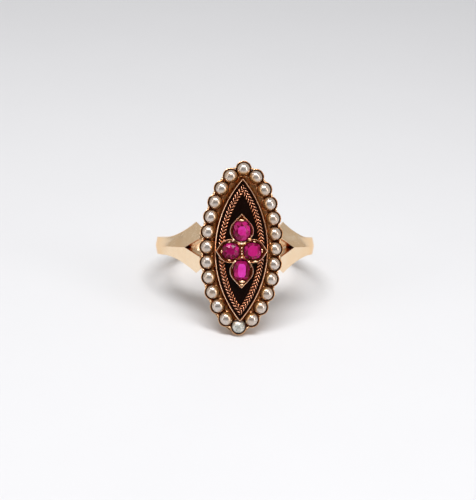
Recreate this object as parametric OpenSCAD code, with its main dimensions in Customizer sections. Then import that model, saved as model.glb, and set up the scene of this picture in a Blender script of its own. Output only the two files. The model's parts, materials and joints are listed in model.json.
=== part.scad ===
// Navette cluster ring: a forked gold band carrying a long pointed head, with a border of
// half pearls, black enamel, a double rope wire and four cushion stones in a quatrefoil.
// Lengths are millimetres. In the head's own frame X runs across the finger, Y along the
// finger and Z out of the face. The ring lies on its side, on the head's lower tip and the
// back of the band.

/* [Band] */
// Inside diameter of the finger hole
bore_d = 17.4; // [15:0.1:20]
// Metal from the finger hole to the ridge of the band
band_t = 1.25; // [1:0.05:1.8]
// Width of the band behind the finger
back_w = 1.8; // [1.4:0.1:2.4]
// Width of the band at the sides of the finger
side_w = 2.1; // [1.9:0.1:3]
// Fall of the outer face from ridge to edge, for each millimetre across
ridge_fall = 0.2; // [0.1:0.02:0.3]

/* [Forked shoulders] */
// Width across both arms of a fork at their ends
fork_w = 6.2; // [5:0.1:7.2]
// Distance of the arm ends outside the edge of the head
fork_reach = 0.2; // [0.1:0.05:0.5]
// Length of the flare, measured across the front of the ring
flare_l = 3.7; // [2.8:0.05:4]
// How late the flare opens: 1 is straight, more is a trumpet
flare_curve = 1.6; // [1.2:0.05:2.2]
// Length of the square cut across each arm end
fork_cut = 0.8; // [0.5:0.05:1]
// Height of the arms above the top of the back plate
shoulder_rise = 0.15; // [0.05:0.05:0.4]
// Depth of the notch between the arms, outside the edge of the head
notch_l = 1.55; // [1:0.05:2]
// Width of the notch where it goes under the head
notch_w = 2.4; // [1.6:0.1:2.8]

/* [Pearl border] */
// Distance between the centres of the pearls at the two tips
row_l = 19; // [17:0.1:21]
// Distance between the centres of the pearls at the two sides
row_w = 8.2; // [7.4:0.1:9]
// Roundness of the row: 2 is an oval, less is more pointed
row_round = 1.73; // [1.65:0.01:1.9]
// Number of pearls
pearl_count = 24; // [20:4:28]
// Gap between a pearl and the wall of its cup
cup_gap = 0.04; // [0.03:0.01:0.1]
// Metal left between two neighbouring cups
cup_web = 0.09; // [0.06:0.01:0.14]
// Thickness of the scalloped rim outside the pearls
rim_t = 0.12; // [0.08:0.01:0.18]
// Taper of each cup from its rim down to the back plate
cup_taper = 0.14; // [0.06:0.02:0.2]
// Radius of the gold grain in each outer valley between two cups
grain_r = 0.2; // [0.16:0.01:0.24]

/* [Head layers] */
// Clearance between the finger hole and the flat back of the head
back_gap = 0.06; // [0.04:0.01:0.12]
// Thickness of the plain back plate
plate_t = 0.55; // [0.4:0.05:0.7]
// Distance of the back plate's edge inside the foot of the cups
plate_inset = 0.2; // [0.1:0.02:0.3]
// Distance of the back plate's squared ends inside the foot of the tip cups
plate_end = 0.22; // [0.16:0.02:0.26]
// Distance of the upper end further in than the lower end, which the ring rests on
plate_top = 0.3; // [0.2:0.05:0.4]
// Height of the cups above the back plate
cup_h = 0.8; // [0.7:0.05:1]
// Depth of the cups
cup_depth = 0.68; // [0.5:0.02:0.76]
// Height of a pearl's widest ring above its seat
pearl_lift = 0.4; // [0.3:0.02:0.5]

/* [Enamel panel] */
// Clearance between the pointed frame and the cups at its tips and sides
panel_gap = 0.03; // [0.02:0.01:0.1]
// Thickness of the frame's wall
frame_t = 0.14; // [0.1:0.01:0.18]
// Width of the black line inside the frame
line_w = 0.27; // [0.22:0.01:0.32]
// Diameter of each of the two rope wires
rope_d = 0.38; // [0.34:0.01:0.42]
// Height of the panel's floor above the cups' rim
floor_h = 0.2; // [0.15:0.01:0.3]
// Thickness of the enamel
enamel_t = 0.2; // [0.15:0.01:0.25]
// Height of the frame above the enamel
frame_lip = 0.14; // [0.1:0.01:0.2]
// Gap round each piece of enamel
enamel_gap = 0.02; // [0.01:0.01:0.03]

/* [Quatrefoil] */
// How far the side points reach over the frame's wall
point_over = 0.07; // [0.04:0.01:0.1]
// Length of the side points beyond their lobes
side_point_l = 0.31; // [0.24:0.01:0.4]
// How far each side lobe's circle reaches past the middle
lobe_meet = 0.04; // [0:0.01:0.08]
// Distance of the upper and lower lobes' circles from the middle
lobe_stand = 0.95; // [0.9:0.05:1.1]
// Length of the upper and lower points beyond their lobes
long_point_l = 0.68; // [0.6:0.02:1]
// Thickness of the quatrefoil's wall
collet_t = 0.15; // [0.12:0.01:0.18]
// Height of the quatrefoil's wall above the enamel
collet_h = 0.62; // [0.5:0.02:0.75]
// Height of the stones' bed below the top of that wall
bed_drop = 0.3; // [0.24:0.02:0.36]

/* [Leans and drops of the hand-made head] */
// Lean of the pearl border against the band, in degrees, its top to the right
border_lean = 1.6; // [0:0.1:3]
// Lean of the pointed frame and the ropes against the band, in degrees
panel_lean = 1; // [0:0.1:2]
// How far the panel sits below the middle of the border
panel_drop = 0.24; // [0:0.02:0.3]
// How far the quatrefoil sits below the middle of the panel
quatrefoil_drop = 0.1; // [0:0.02:0.2]

/* [Stones] */
// Height of a stone's table above its girdle
crown_h = 0.42; // [0.3:0.02:0.5]
// Depth of a stone's point below its girdle
pavilion_h = 0.75; // [0.6:0.05:0.85]
// Thickness of the girdle
girdle_t = 0.06; // [0.04:0.01:0.1]
// Width of the table as a share of the stone
table_share = 0.58; // [0.5:0.02:0.66]
// Gap between a stone and its seat
stone_gap = 0.03; // [0.02:0.01:0.05]
// Squareness of the stones: 2 is an oval, more is a cushion
stone_square = 2.7; // [2.2:0.1:3.2]
// Radius of the grains that hold the stones
stone_grain_r = 0.15; // [0.12:0.01:0.18]

/* [Hidden] */
$fn = 64;
// Sides of the panel's wide discs
wide_fn = 240;
// Overlap of joined pieces of metal
eps = 0.01;
// How far cutting bodies stand out of the metal
cut_over = 2;

// Radii and levels
bore_r = bore_d / 2;
band_r = bore_r + band_t;
back_n = bore_r + back_gap;
cup_top = plate_t + cup_h;
cup_floor = cup_top - cup_depth;
panel_floor = cup_top + floor_h;
enamel_top = panel_floor + enamel_gap + enamel_t;
frame_top = enamel_top + frame_lip;
collet_top = enamel_top + collet_h;
bed_top = collet_top - bed_drop;
girdle_level = bed_top + girdle_t;

// The pearl row: |x/a|^row_round + (y/b)^2 = 1, walked at equal steps of its length
quarter_count = pearl_count / 4;
row_steps = 60;
function sgn_pow(v, p) = sign(v) * pow(abs(v), p);
function row_at(t) = [row_w / 2 * sgn_pow(cos(t), 2 / row_round), row_l / 2 * sin(t)];
row_walk = [
    for (i = 0, s = 0; i <= row_steps;
         s = s + norm(row_at((i + 1) * 90 / row_steps) - row_at(i * 90 / row_steps)), i = i + 1)
        [s, i * 90 / row_steps]
];
quarter_l = row_walk[row_steps][0];
pitch = quarter_l / quarter_count;
// Pearls are numbered clockwise from the upper tip
function quarter_turn(k) = lookup(k * pitch, row_walk);
function pearl_turn(i) =
    let (q = floor(i / quarter_count), k = i - q * quarter_count)
    q == 0 ? quarter_turn(quarter_count - k)
    : q == 1 ? -quarter_turn(k)
    : q == 2 ? -180 + quarter_turn(quarter_count - k)
    : 180 - quarter_turn(k);
pearl_at = [for (i = [0 : pearl_count - 1]) row_at(pearl_turn(i))];
pearl_r = (pitch - cup_web) / 2 - cup_gap;
cup_r = pearl_r + cup_gap;
rim_r = cup_r + rim_t;
foot_r = rim_r - cup_taper;
// Width of the slot that opens each cup to the next, as a share of the cup
slot_share = 0.5;
// Depth of that slot as a share of the cup's depth
slot_depth_share = 0.45;
// Grains stand this share of the rim outside the line between two pearls
grain_out_share = 0.62;

// The head's half width over the rim, and the outline of the back plate
head_half_w = row_w / 2 + rim_r;
foot_half_w = row_w / 2 + foot_r;
foot_half_l = row_l / 2 + foot_r;
plate_half_w = foot_half_w - plate_inset;
plate_half_l = foot_half_l - plate_end;
outline_steps = 80;
plate_outline = [
    for (i = [0 : outline_steps - 1])
        let (t = (i + 0.5) * 360 / outline_steps)
            [plate_half_w * sgn_pow(cos(t), 2 / row_round), foot_half_l * sin(t)]
];

// A pointed panel fills the space between the cups, and is where two discs of panel_r overlap
panel_l = row_l - 2 * (cup_r + panel_gap);
panel_w = row_w - 2 * (cup_r + panel_gap);
panel_r = (pow(panel_l / 2, 2) + pow(panel_w / 2, 2)) / panel_w;
panel_shift = panel_r - panel_w / 2;
rope_start = frame_t + line_w;
// Overlap of the two ropes, and their height above the enamel
rope_lap = 0.03;
rope_rise = 0.02;
rope_w = 2 * rope_d - rope_lap;
field_start = rope_start + rope_w;
rope_level = enamel_top + rope_rise;
// The land that carries the ropes lies this far inside their outer sides
land_inset = 0.09;

// The quatrefoil takes its width from the frame
lobe_r = (panel_w / 2 - frame_t + point_over - side_point_l + lobe_meet) / 2;
lobe_x = lobe_r - lobe_meet;
lobe_y = lobe_r + lobe_stand;
quatrefoil_y = -panel_drop - quatrefoil_drop;
// Its lobes: [centre, direction, distance of the point from the centre]
lobes = [
    [[0, quatrefoil_y + lobe_y], 90, lobe_r + long_point_l],
    [[lobe_x, quatrefoil_y], 0, lobe_r + side_point_l],
    [[0, quatrefoil_y - lobe_y], -90, lobe_r + long_point_l],
    [[-lobe_x, quatrefoil_y], 180, lobe_r + side_point_l]
];

// Width of a stone's culet as a share of the stone, and sides of its seat
culet_share = 0.12;
seat_steps = 32;
// Stones, as shares of the lobes: [name, x share of lobe_x, y share of lobe_y, width and
// length as shares of the lobe's diameter]
stones = [
    ["ruby_top", 0, 1.02, 0.72, 0.86],
    ["ruby_right", 0.93, 0, 0.7, 0.69],
    ["ruby_bottom", 0, -0.98, 0.67, 0.81],
    ["ruby_left", -0.94, 0, 0.72, 0.67]
];
// Grains round the stones: [x share of lobe_x, y share of lobe_y, size share of stone_grain_r]
stone_grains = [
    [0, 1.62, 1.1],
    [0, -1.55, 1.3],
    [-0.74, 0.61, 1],
    [0.7, 0.63, 1],
    [-0.7, -0.56, 1],
    [0.78, -0.55, 1.2],
    [0, 0.4, 0.9],
    [0, 0.2, 0.75],
    [0, -0.02, 0.75],
    [0, -0.26, 0.9],
    [-1.86, 0.06, 1],
    [1.84, 0.06, 1]
];

// The fork's front view: from the band's side to the arm's end
fork_x = head_half_w + fork_reach;
flare_steps = 14;
function flare_half_w(t) = side_w / 2 + (fork_w - side_w) / 2 * pow(t, flare_curve);
// Length of the arms under the edge of the head
arm_run = 1.12;
arm_in_x = head_half_w - arm_run;
fork_half = fork_w / 2;
cut_side = fork_cut * sin(45);
arm_profile = concat(
    [[band_r + cut_over, side_w / 2]],
    [for (i = [0 : flare_steps])
        [fork_x + flare_l * (1 - i / flare_steps), flare_half_w(i / flare_steps)]],
    [[fork_x - cut_side, fork_half - cut_side], [arm_in_x, fork_half - cut_side]]
);

// The raised shoulder leaves the band's circle along a line that is a tangent of a circle
// shoulder_sink under it, and ends a little above the back plate
shoulder_x = head_half_w;
shoulder_n = back_n + plate_t + shoulder_rise;
shoulder_sink = 0.05;
sunk_r = band_r - shoulder_sink;
shoulder_angle = atan2(shoulder_x, shoulder_n) + acos(sunk_r / norm([shoulder_x, shoulder_n]));
notch_angle = asin((head_half_w + notch_l) / band_r);
// The notch has its full width this far inside the edge of the head
notch_in = 0.6;
notch_reach = shoulder_n * sin(notch_angle) - (head_half_w - notch_in) * cos(notch_angle);

// The pose at rest: the line from the plate's lower edge to the back of the band is level
tip_y = -back_n;
tip_z = -plate_half_l;
heel_y = band_r - ridge_fall * back_w / 2;
heel_z = -back_w / 2;
rest_tilt = atan2(heel_z - tip_z, heel_y - tip_y);
rest_z = tip_y * sin(rest_tilt) - tip_z * cos(rest_tilt);
far_y = heel_y * cos(rest_tilt) - heel_z * sin(rest_tilt);
near_y = -(back_n + cup_floor + pearl_lift) * cos(rest_tilt)
    - row_l / 2 * cos(border_lean) * sin(rest_tilt) - pearl_r;
rest_y = -(far_y + near_y) / 2;

function two_digits(i) = i < 10 ? str("0", i) : str(i);
function pearl_name(i) = str("pearl_", two_digits(i + 1));

// Lays the whole ring on its side
module at_rest() {
    translate([0, rest_y, rest_z]) rotate([-rest_tilt, 0, 0]) children();
}

// Puts a shape drawn in the head's frame on the front of the finger hole
module on_head() {
    rotate([90, 0, 0]) translate([0, 0, back_n]) children();
}

// A pointed panel, drawn in by inset, from level z0 to z1
module pointed(inset, z0, z1) {
    translate([0, -panel_drop, z0]) rotate([0, 0, -panel_lean]) intersection() {
        translate([panel_shift, 0, 0]) cylinder(r = panel_r - inset, h = z1 - z0, $fn = wide_fn);
        translate([-panel_shift, 0, 0]) cylinder(r = panel_r - inset, h = z1 - z0, $fn = wide_fn);
    }
}

// One lobe with its point, grown by grow, from level z0 to z1
module lobe(l, grow, z0, z1) {
    r = lobe_r + grow;
    d = l[2] * r / lobe_r;
    a = acos(r / d);
    translate([l[0][0], l[0][1], z0]) rotate([0, 0, l[1]]) union() {
        cylinder(r = r, h = z1 - z0);
        linear_extrude(height = z1 - z0)
            polygon([[0, 0], [r * cos(a), -r * sin(a)], [d, 0], [r * cos(a), r * sin(a)]]);
    }
}

// The four lobes, with the middle between them filled
module quatrefoil(grow, z0, z1) {
    union() {
        for (l = lobes) lobe(l, grow, z0, z1);
        translate([0, 0, z0]) linear_extrude(height = z1 - z0) polygon([for (l = lobes) l[0]]);
    }
}

// The band's ridged outer body above its middle plane, with the raised shoulders
module half_band_body() {
    h = fork_half + eps;
    top_share = (band_r - ridge_fall * h) / band_r;
    cylinder(r1 = band_r, r2 = band_r * top_share, h = h);
    for (side = [-1, 1]) {
        foot = [
            [0, 0],
            [side * sunk_r * sin(shoulder_angle), -sunk_r * cos(shoulder_angle)],
            [side * shoulder_x, -shoulder_n],
            [side * arm_in_x / 2, -shoulder_n]
        ];
        top = [for (p = foot) p * top_share];
        ring = concat([for (p = foot) [p[0], p[1], 0]], [for (p = top) [p[0], p[1], h]]);
        walls = [for (i = [0 : 3]) [i, (i + 1) % 4, 4 + (i + 1) % 4, 4 + i]];
        faces = concat([[0, 3, 2, 1]], walls, [[4, 5, 6, 7]]);
        turned = [for (f = faces) [for (i = [len(f) - 1 : -1 : 0]) f[i]]];
        polyhedron(points = ring, faces = side > 0 ? faces : turned);
    }
}

// The front view of both forks, and the side view of the band behind them
module band_silhouette() {
    reach = band_r + cut_over;
    rotate([90, 0, 0]) linear_extrude(height = reach) {
        for (side = [-1, 1])
            polygon(concat(
                [for (p = arm_profile) [side * p[0], p[1]]],
                [for (i = [len(arm_profile) - 1 : -1 : 0]) [side * arm_profile[i][0], -arm_profile[i][1]]]
            ));
    }
    rotate([90, 0, 90]) linear_extrude(height = 2 * reach, center = true)
        polygon([
            [0, side_w / 2], [band_r, back_w / 2], [reach, back_w / 2],
            [reach, -back_w / 2], [band_r, -back_w / 2], [0, -side_w / 2]
        ]);
}

// The V notch between the two arms of a fork, cut towards the finger hole's axis
module fork_notch(side) {
    rotate([0, 0, side * notch_angle]) rotate([90, 0, 0])
        translate([0, 0, bore_r - cut_over]) linear_extrude(height = band_t + 2 * cut_over)
            polygon([
                [0, 0], [-side * notch_reach, notch_w / 2],
                [-side * (notch_reach + cut_over), notch_w / 2],
                [-side * (notch_reach + cut_over), -notch_w / 2],
                [-side * notch_reach, -notch_w / 2]
            ]);
}

module band() {
    difference() {
        intersection() {
            union() {
                half_band_body();
                mirror([0, 0, 1]) half_band_body();
            }
            band_silhouette();
        }
        for (side = [-1, 1]) fork_notch(side);
    }
}

// The tapered outside of one cup, with the grain in the valley after it
module cup_outside(i) {
    here = pearl_at[i];
    next = pearl_at[(i + 1) % pearl_count];
    middle = (here + next) / 2;
    across = [here[1] - next[1], next[0] - here[0]] / norm(next - here);
    valley = middle + across * rim_r * grain_out_share;
    translate([here[0], here[1], plate_t - eps])
        cylinder(r1 = foot_r, r2 = rim_r, h = cup_h + eps);
    translate([valley[0], valley[1], plate_t - eps]) cylinder(r = grain_r, h = cup_h + eps);
    translate([valley[0], valley[1], cup_top]) sphere(r = grain_r);
}

// The well of one pearl, and the slot that opens it to the next well
module cup_well(i) {
    here = pearl_at[i];
    step = pearl_at[(i + 1) % pearl_count] - here;
    translate([here[0], here[1], cup_floor]) cylinder(r = cup_r, h = cup_depth + cut_over);
    translate([here[0], here[1], cup_top - cup_depth * slot_depth_share])
        rotate([0, 0, atan2(step[1], step[0])]) translate([0, -cup_r * slot_share, 0])
            cube([norm(step), 2 * cup_r * slot_share, cut_over]);
}

// Turns a shape of the head with the lean of the pearl border
module with_border() {
    rotate([0, 0, -border_lean]) children();
}

// The plain back plate, which stays square to the band
module back_plate() {
    intersection() {
        linear_extrude(height = plate_t) polygon(plate_outline);
        translate([-foot_half_w, -plate_half_l, 0])
            cube([2 * foot_half_w, 2 * plate_half_l - plate_top, plate_t]);
    }
}

// The scalloped border of cups
module pearl_border() {
    with_border() difference() {
        union() {
            linear_extrude(height = cup_top) polygon(pearl_at);
            for (i = [0 : pearl_count - 1]) cup_outside(i);
        }
        for (i = [0 : pearl_count - 1]) cup_well(i);
    }
}

// One rope wire along both sides of the panel, as two plain arcs that meet at the tips
module rope_wire(inset) {
    wire_r = rope_d / 2;
    arc_r = panel_r - inset - wire_r;
    half_turn = acos(panel_shift / arc_r) + 1;
    for (side = [0, 180])
        translate([0, -panel_drop, 0]) rotate([0, 0, side - panel_lean]) intersection() {
            translate([-panel_shift, 0, rope_level]) rotate([0, 0, -half_turn])
                rotate_extrude(angle = 2 * half_turn) translate([arc_r, 0]) circle(r = wire_r);
            translate([0, -panel_l / 2, 0]) cube([panel_w, panel_l, frame_top + rope_d]);
        }
}

// Room for the pearls under the panel's edge
module pearl_room() {
    with_border() for (i = [0 : pearl_count - 1])
        translate([pearl_at[i][0], pearl_at[i][1], cup_floor + pearl_lift])
            sphere(r = pearl_r + cup_gap);
}

// The raised panel: floor, frame, the land under the ropes, and the two rope wires
module panel() {
    difference() {
        union() {
            pointed(0, cup_top - eps, panel_floor);
            difference() {
                pointed(0, panel_floor - eps, frame_top);
                pointed(frame_t, panel_floor - 2 * eps, frame_top + cut_over);
            }
        }
        pearl_room();
    }
    difference() {
        pointed(rope_start + land_inset, panel_floor - eps, rope_level);
        pointed(field_start - land_inset, panel_floor - 2 * eps, rope_level + cut_over);
    }
    rope_wire(rope_start);
    rope_wire(rope_start + rope_d - rope_lap);
}

function girdle_at(w, l, share, t) =
    [w / 2 * share * sgn_pow(cos(t), 2 / stone_square), l / 2 * share * sgn_pow(sin(t), 2 / stone_square)];

// One point of a stone: share of its outline, number of sixteenths of a turn, level
function stone_point(w, l, share, sixteenth, level) =
    concat(girdle_at(w, l, share, sixteenth * 360 / 16), [level]);

// A cushion-cut stone: an eight-sided table, a crown and a pavilion of triangles
module cushion_stone(w, l) {
    table = [for (k = [0 : 7]) stone_point(w, l, table_share, 2 * k + 1, crown_h)];
    upper = [for (j = [0 : 15]) stone_point(w, l, 1, j, girdle_t / 2)];
    lower = [for (j = [0 : 15]) stone_point(w, l, 1, j, -girdle_t / 2)];
    culet = [for (k = [0 : 7]) stone_point(w, l, culet_share, 2 * k + 1, -pavilion_h)];
    u = 8;
    d = 24;
    c = 40;
    crown = [for (k = [0 : 7]) each [
        [k, u + (2 * k + 2) % 16, u + 2 * k + 1],
        [k, (k + 1) % 8, u + (2 * k + 2) % 16],
        [(k + 1) % 8, u + (2 * k + 3) % 16, u + (2 * k + 2) % 16]
    ]];
    girdle = [for (j = [0 : 15]) each [
        [u + j, u + (j + 1) % 16, d + (j + 1) % 16],
        [u + j, d + (j + 1) % 16, d + j]
    ]];
    pavilion = [for (k = [0 : 7]) each [
        [c + k, d + 2 * k + 1, d + (2 * k + 2) % 16],
        [c + k, d + (2 * k + 2) % 16, c + (k + 1) % 8],
        [c + (k + 1) % 8, d + (2 * k + 2) % 16, d + (2 * k + 3) % 16]
    ]];
    polyhedron(
        points = concat(table, upper, lower, culet),
        faces = concat([[7, 6, 5, 4, 3, 2, 1, 0]], crown, girdle, pavilion, [[for (k = [0 : 7]) c + k]])
    );
}

function stone_place(s) = [s[1] * lobe_x, quatrefoil_y + s[2] * lobe_y, girdle_level];
function stone_w(s) = s[3] * 2 * lobe_r;
function stone_l(s) = s[4] * 2 * lobe_r;

module stone(s) {
    translate(stone_place(s)) cushion_stone(stone_w(s), stone_l(s));
}

// The well that one stone drops into
module stone_seat(s) {
    place = stone_place(s);
    w = stone_w(s) + 2 * stone_gap;
    l = stone_l(s) + 2 * stone_gap;
    depth = pavilion_h + stone_gap;
    translate([place[0], place[1], girdle_level - depth])
        linear_extrude(height = depth + crown_h)
            polygon([for (j = [0 : seat_steps - 1]) girdle_at(w, l, 1, j * 360 / seat_steps)]);
}

// The quatrefoil: its wall, the bed of the stones and the grains that hold them
module collet() {
    difference() {
        quatrefoil(0, cup_top, collet_top);
        quatrefoil(-collet_t, bed_top, collet_top + cut_over);
    }
    for (g = stone_grains)
        translate([g[0] * lobe_x, quatrefoil_y + g[1] * lobe_y, bed_top]) {
            cylinder(r = stone_grain_r * g[2], h = girdle_t + crown_h / 2);
            translate([0, 0, girdle_t + crown_h / 2]) sphere(r = stone_grain_r * g[2]);
        }
}

module ring_mount() {
    color("#d8a56c") at_rest() difference() {
        union() {
            band();
            on_head() {
                back_plate();
                pearl_border();
                panel();
                collet();
            }
        }
        on_head() for (s = stones) stone_seat(s);
        translate([0, 0, -row_l]) cylinder(r = bore_r, h = 2 * row_l);
    }
}

// Half of the head, above or below the middle of the quatrefoil
module half_head(side) {
    translate([-row_w, quatrefoil_y - (side > 0 ? 0 : row_l), 0])
        cube([2 * row_w, row_l, frame_top + cut_over]);
}

// Enamel of the open field above or below the quatrefoil
module enamel_field(side) {
    color("#120c0c") at_rest() on_head() difference() {
        intersection() {
            pointed(field_start + enamel_gap, panel_floor + enamel_gap, enamel_top);
            half_head(side);
        }
        quatrefoil(enamel_gap, panel_floor, frame_top + cut_over);
    }
}

// Enamel of the thin line between the frame and the ropes
module enamel_line(side) {
    color("#120c0c") at_rest() on_head() intersection() {
        difference() {
            pointed(frame_t + enamel_gap, panel_floor + enamel_gap, enamel_top);
            pointed(rope_start - enamel_gap, panel_floor, enamel_top + cut_over);
            quatrefoil(enamel_gap, panel_floor, frame_top + cut_over);
        }
        half_head(side);
    }
}

// A half pearl: a ball cut flat where it sits
module pearl(i) {
    color("#ece3d6") at_rest() on_head() with_border()
        translate([pearl_at[i][0], pearl_at[i][1], cup_floor + enamel_gap]) difference() {
            translate([0, 0, pearl_lift - enamel_gap]) sphere(r = pearl_r);
            translate([-pearl_r, -pearl_r, -2 * pearl_r]) cube(2 * pearl_r);
        }
}

module ruby(s) {
    color("#c2186f") at_rest() on_head() stone(s);
}

ring_mount();
enamel_field(1);  // enamel_top
enamel_field(-1);  // enamel_bottom
enamel_line(1);  // enamel_line_top
enamel_line(-1);  // enamel_line_bottom
for (s = stones) ruby(s);
for (i = [0 : pearl_count - 1]) pearl(i);
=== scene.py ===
"""Dresses the navette ring: gold mount, half pearls, black enamel and red stones.

Shapes are worked out in millimetres in two frames. In the ring's frame Z runs along the
finger, and the head stands at -Y. In the head's frame X runs across the finger, Y along the
finger and Z out of the face, from the back of the plate. The lying ring is turned into
Blender's metres at the very end.
"""

import json
import math
import types

import bmesh
import bpy
import numpy as np
from mathutils import Matrix, Vector


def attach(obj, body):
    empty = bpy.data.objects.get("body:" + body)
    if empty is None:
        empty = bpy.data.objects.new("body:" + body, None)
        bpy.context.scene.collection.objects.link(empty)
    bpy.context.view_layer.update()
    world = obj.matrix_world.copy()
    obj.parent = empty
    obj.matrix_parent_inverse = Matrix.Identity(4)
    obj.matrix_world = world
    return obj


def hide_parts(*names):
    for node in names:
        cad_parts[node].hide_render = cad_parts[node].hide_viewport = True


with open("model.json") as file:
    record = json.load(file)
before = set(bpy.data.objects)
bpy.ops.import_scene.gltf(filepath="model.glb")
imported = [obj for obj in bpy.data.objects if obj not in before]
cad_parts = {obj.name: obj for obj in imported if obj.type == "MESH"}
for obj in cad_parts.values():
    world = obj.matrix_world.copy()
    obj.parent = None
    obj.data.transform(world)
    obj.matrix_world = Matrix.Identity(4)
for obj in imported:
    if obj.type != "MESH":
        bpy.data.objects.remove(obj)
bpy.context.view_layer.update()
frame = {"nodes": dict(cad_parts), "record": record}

bl_info = {
    "name": "Navette ring",
    "version": (1, 0, 0),
    "blender": (4, 5, 0),
    "location": "3D View > Sidebar > Ring",
    "description": "Half pearls, black enamel and red stones on a forked gold ring",
    "category": "Add Mesh",
}

MM = 0.001

# What a ray meets where nothing is in its way, in millimetres.
FAR = 1e9

# The front columns of the band go this far out, as a share of the finger hole's radius.
FRONT_SHARE = 0.965


# Settings


def length(name, description, value):
    """A length property whose default is given in millimetres."""
    return bpy.props.FloatProperty(
        name=name, description=description, default=value * MM, unit="LENGTH", precision=5
    )


def angle(name, description, degrees):
    """An angle property whose default is given in degrees."""
    return bpy.props.FloatProperty(
        name=name, description=description, default=math.radians(degrees), subtype="ANGLE"
    )


def share(name, description, value, low=0.0, high=1.0):
    """A plain number."""
    return bpy.props.FloatProperty(
        name=name, description=description, default=value, min=low, max=high
    )


def count(name, description, value):
    """A whole number."""
    return bpy.props.IntProperty(name=name, description=description, default=value, min=1)


def colour(name, description, value):
    """A colour."""
    return bpy.props.FloatVectorProperty(
        name=name, description=description, default=value, size=4, subtype="COLOR", min=0, max=1
    )


class BandSizes(bpy.types.PropertyGroup):
    """The band and its forked shoulders."""

    bore_d: length("Finger hole", "Inside diameter of the finger hole", 17.4)
    band_t: length("Thickness", "Metal from the finger hole to the ridge", 1.25)
    back_w: length("Back width", "Width of the band behind the finger", 1.8)
    side_w: length("Side width", "Width of the band at the sides of the finger", 2.1)
    ridge_fall: share("Ridge fall", "Fall of the outer face for each unit across", 0.2)
    fork_w: length("Fork width", "Width across both arms at their ends", 6.2)
    fork_reach: length("Fork reach", "Arm ends outside the edge of the head", 0.2)
    flare_l: length("Flare length", "Length of the flare across the front", 3.7)
    flare_curve: share("Flare curve", "How late the flare opens", 1.6, 1, 3)
    fork_cut: length("Arm end cut", "Length of the square cut across each arm end", 0.8)
    arm_run: length("Arm run", "Length of the arms under the edge of the head", 1.12)
    shoulder_rise: length("Shoulder rise", "Arms above the top of the back plate", 0.15)
    shoulder_sink: length("Shoulder sink", "Start of the shoulder under the band's face", 0.05)
    notch_l: length("Notch depth", "Notch between the arms, outside the head", 1.55)
    notch_w: length("Notch width", "Notch where it goes under the head", 2.4)
    notch_in: length("Notch run", "Full notch width inside the edge of the head", 0.6)
    edge_r: length("Edge rounding", "Rounding of the worn edges", 0.05)
    crease_drop: share("Crease", "Turn of the upper shoulder facets at their crease", 0.05)


class BorderSizes(bpy.types.PropertyGroup):
    """The back plate and the scalloped border of pearls."""

    row_l: length("Row length", "Between the pearls at the two tips", 19)
    row_w: length("Row width", "Between the pearls at the two sides", 8.2)
    row_round: share("Row roundness", "2 is an oval, less is more pointed", 1.73, 1, 3)
    pearl_count: count("Pearls", "Number of pearls", 24)
    cup_gap: length("Cup gap", "Between a pearl and the wall of its cup", 0.04)
    cup_web: length("Cup web", "Metal between two neighbouring cups", 0.09)
    rim_t: length("Rim", "Thickness of the scalloped rim", 0.12)
    cup_taper: length("Cup taper", "Taper of each cup down to the plate", 0.14)
    grain_r: length("Grain", "Radius of the grains in the outer valleys", 0.2)
    back_gap: length("Back gap", "Finger hole to the flat back of the head", 0.06)
    plate_t: length("Plate", "Thickness of the back plate", 0.55)
    plate_inset: length("Plate inset", "Plate's edge inside the foot of the cups", 0.2)
    plate_end: length("Plate end", "Plate's squared ends inside the tip cups", 0.22)
    plate_top: length("Plate top", "Plate's upper end further in than its lower end", 0.8)
    cup_h: length("Cup height", "Height of the cups above the plate", 0.8)
    cup_depth: length("Cup depth", "Depth of the cups", 0.68)
    pearl_lift: length("Pearl lift", "A pearl's widest ring above its seat", 0.4)
    fill_drop: length("Recess", "Metal between cups and frame, below the rim", 0.34)
    lean: angle("Lean", "Lean of the border, its top to the right", 1.6)


class PanelSizes(bpy.types.PropertyGroup):
    """The raised enamel panel and its two rope wires."""

    panel_gap: length("Panel gap", "Between the frame and the cups", 0.03)
    frame_t: length("Frame wall", "Thickness of the pointed frame", 0.14)
    line_w: length("Black line", "Width of the black line inside the frame", 0.27)
    rope_d: length("Rope", "Diameter of each rope wire", 0.38)
    rope_lap: length("Rope lap", "Overlap of the two ropes", 0.03)
    rope_rise: length("Rope rise", "Middle of the ropes above the enamel", 0.02)
    rope_pitch: length("Rope pitch", "Length of one turn of a rope's strands", 0.86)
    floor_h: length("Panel floor", "Panel's floor above the cups' rim", 0.2)
    enamel_t: length("Enamel", "Thickness of the enamel", 0.2)
    enamel_gap: length("Enamel gap", "Gap round each piece of enamel", 0.02)
    frame_lip: length("Frame lip", "Frame above the enamel", 0.14)
    land_inset: length("Land inset", "Land inside the ropes' outer sides", 0.09)
    lean: angle("Lean", "Lean of the frame and ropes, their top to the right", 1)
    drop: length("Drop", "Panel below the middle of the border", 0.24)


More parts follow.
